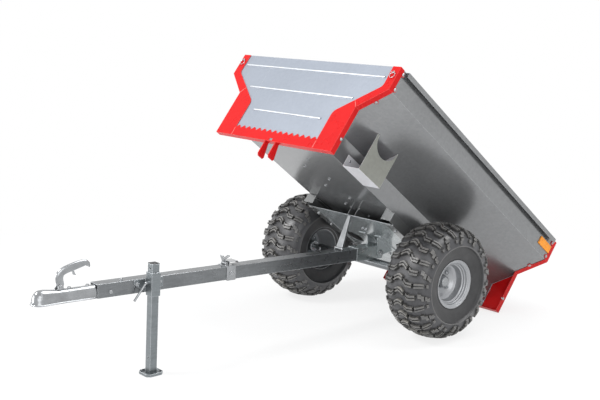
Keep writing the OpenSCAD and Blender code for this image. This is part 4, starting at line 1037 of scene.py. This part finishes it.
def make_stage():
    """A pale floor that keeps the part's shadow."""
    mesh = bmesh.new()
    bmesh.ops.create_circle(mesh, cap_ends=True, segments=96, radius=FLOOR_R)
    floor = bpy.data.objects.new("floor", mesh_data("floor", mesh))
    floor.location = (0, 0, cad_low.z - FLOOR_GAP)
    bpy.context.collection.objects.link(floor)
    s = Shader("floor_white")
    s.colour(s.ramp(s.noise(0.6, 2), (0.3, (0.90, 0.90, 0.90)), (0.7, (0.94, 0.94, 0.94))))
    s.set(Roughness=0.9, Specular_IOR_Level=0.05)
    glow = s.add("ShaderNodeEmission")
    glow.inputs["Color"].default_value = (1, 1, 1, 1)
    out = s.tree.nodes["Material Output"]
    # Camera and glossy rays see the floor mostly as white, wholly so away from the part, with
    # the part's shadow left on it
    path = s.add("ShaderNodeLightPath")
    both = s.add("ShaderNodeMath", operation="MAXIMUM")
    s.link(path.outputs["Is Camera Ray"], both.inputs[0])
    s.link(path.outputs["Is Glossy Ray"], both.inputs[1])
    far = s.add("ShaderNodeVectorMath", operation="LENGTH")
    s.link(s.coords, far.inputs[0])
    white = s.add("ShaderNodeMapRange", interpolation_type="SMOOTHSTEP")
    white.inputs["From Min"].default_value = NEAR_R
    white.inputs["From Max"].default_value = FAR_R
    white.inputs["To Min"].default_value = WHITE_NEAR
    white.inputs["To Max"].default_value = WHITE_FAR
    s.link(far.outputs["Value"], white.inputs["Value"])
    share = s.add("ShaderNodeMath", operation="MULTIPLY")
    s.link(white.outputs["Result"], share.inputs[1])
    s.link(both.outputs[0], share.inputs[0])
    mix = s.add("ShaderNodeMixShader")
    s.link(share.outputs[0], mix.inputs[0])
    s.link(s.bsdf.outputs[0], mix.inputs[1])
    s.link(glow.outputs[0], mix.inputs[2])
    s.link(mix.outputs[0], out.inputs["Surface"])
    set_material(floor, s.mat)


def make_world():
    """White to camera, glossy and transmission rays, and a softer fill light to the rest."""
    world = bpy.data.worlds.new("world")
    bpy.context.scene.world = world
    world.use_nodes = True
    tree = world.node_tree
    for node in list(tree.nodes):
        tree.nodes.remove(node)

    def background(colour, strength):
        node = tree.nodes.new("ShaderNodeBackground")
        node.inputs["Color"].default_value = (*colour, 1)
        node.inputs["Strength"].default_value = strength
        return node.outputs[0]

    def either(a, b):
        node = tree.nodes.new("ShaderNodeMath")
        node.operation = "MAXIMUM"
        tree.links.new(a, node.inputs[0])
        tree.links.new(b, node.inputs[1])
        return node.outputs[0]

    seen = background((1, 1, 1), 1.0)
    fill = background((0.96, 0.98, 1), FILL_STRENGTH)
    path = tree.nodes.new("ShaderNodeLightPath").outputs
    glossy = either(path["Is Glossy Ray"], path["Is Transmission Ray"])
    mix = tree.nodes.new("ShaderNodeMixShader")
    tree.links.new(either(path["Is Camera Ray"], glossy), mix.inputs[0])
    tree.links.new(fill, mix.inputs[1])
    tree.links.new(seen, mix.inputs[2])
    out = tree.nodes.new("ShaderNodeOutputWorld")
    tree.links.new(mix.outputs[0], out.inputs["Surface"])


def area_light(name, at, size, watts):
    """A round lamp of the given width, aimed at the part."""
    data = bpy.data.lights.new(name, "AREA")
    data.shape = "DISK"
    data.size = size
    data.energy = watts
    lamp = bpy.data.objects.new(name, data)
    lamp.location = at
    lamp.rotation_euler = (LAMP_TARGET - Vector(at)).to_track_quat("-Z", "Y").to_euler()
    bpy.context.collection.objects.link(lamp)


def make_lights():
    """A key light from the front left, a wide fill, a low light and one from above."""
    for lamp in LAMPS:
        area_light(*lamp)


make_camera()
make_world()
make_lights()
make_stage()
bright_zinc, hatch_sheet_painted_light, silver_paint = paint_nodes()
tyre_rubber = rubber("tyre_rubber")
for wheel_side, wheel in SIDES:
    make_tyre(wheel_side, wheel + "_wheel", wheel + "_tyre", tyre_rubber)
for wheel_side, wheel in SIDES:
    make_rim(wheel_side, wheel + "_wheel", wheel + "_rim", silver_paint)
make_coupling(bright_zinc)
make_handle(bright_zinc)
make_front_details()
make_hatch("front_hatch_panel", "front_hatch", "load_box", hatch_sheet_painted_light)
make_hatch("rear_hatch_panel", "rear_hatch", "rear_gate", hatch_sheet_painted_light)

bpy.context.scene.view_settings.view_transform = "Standard"
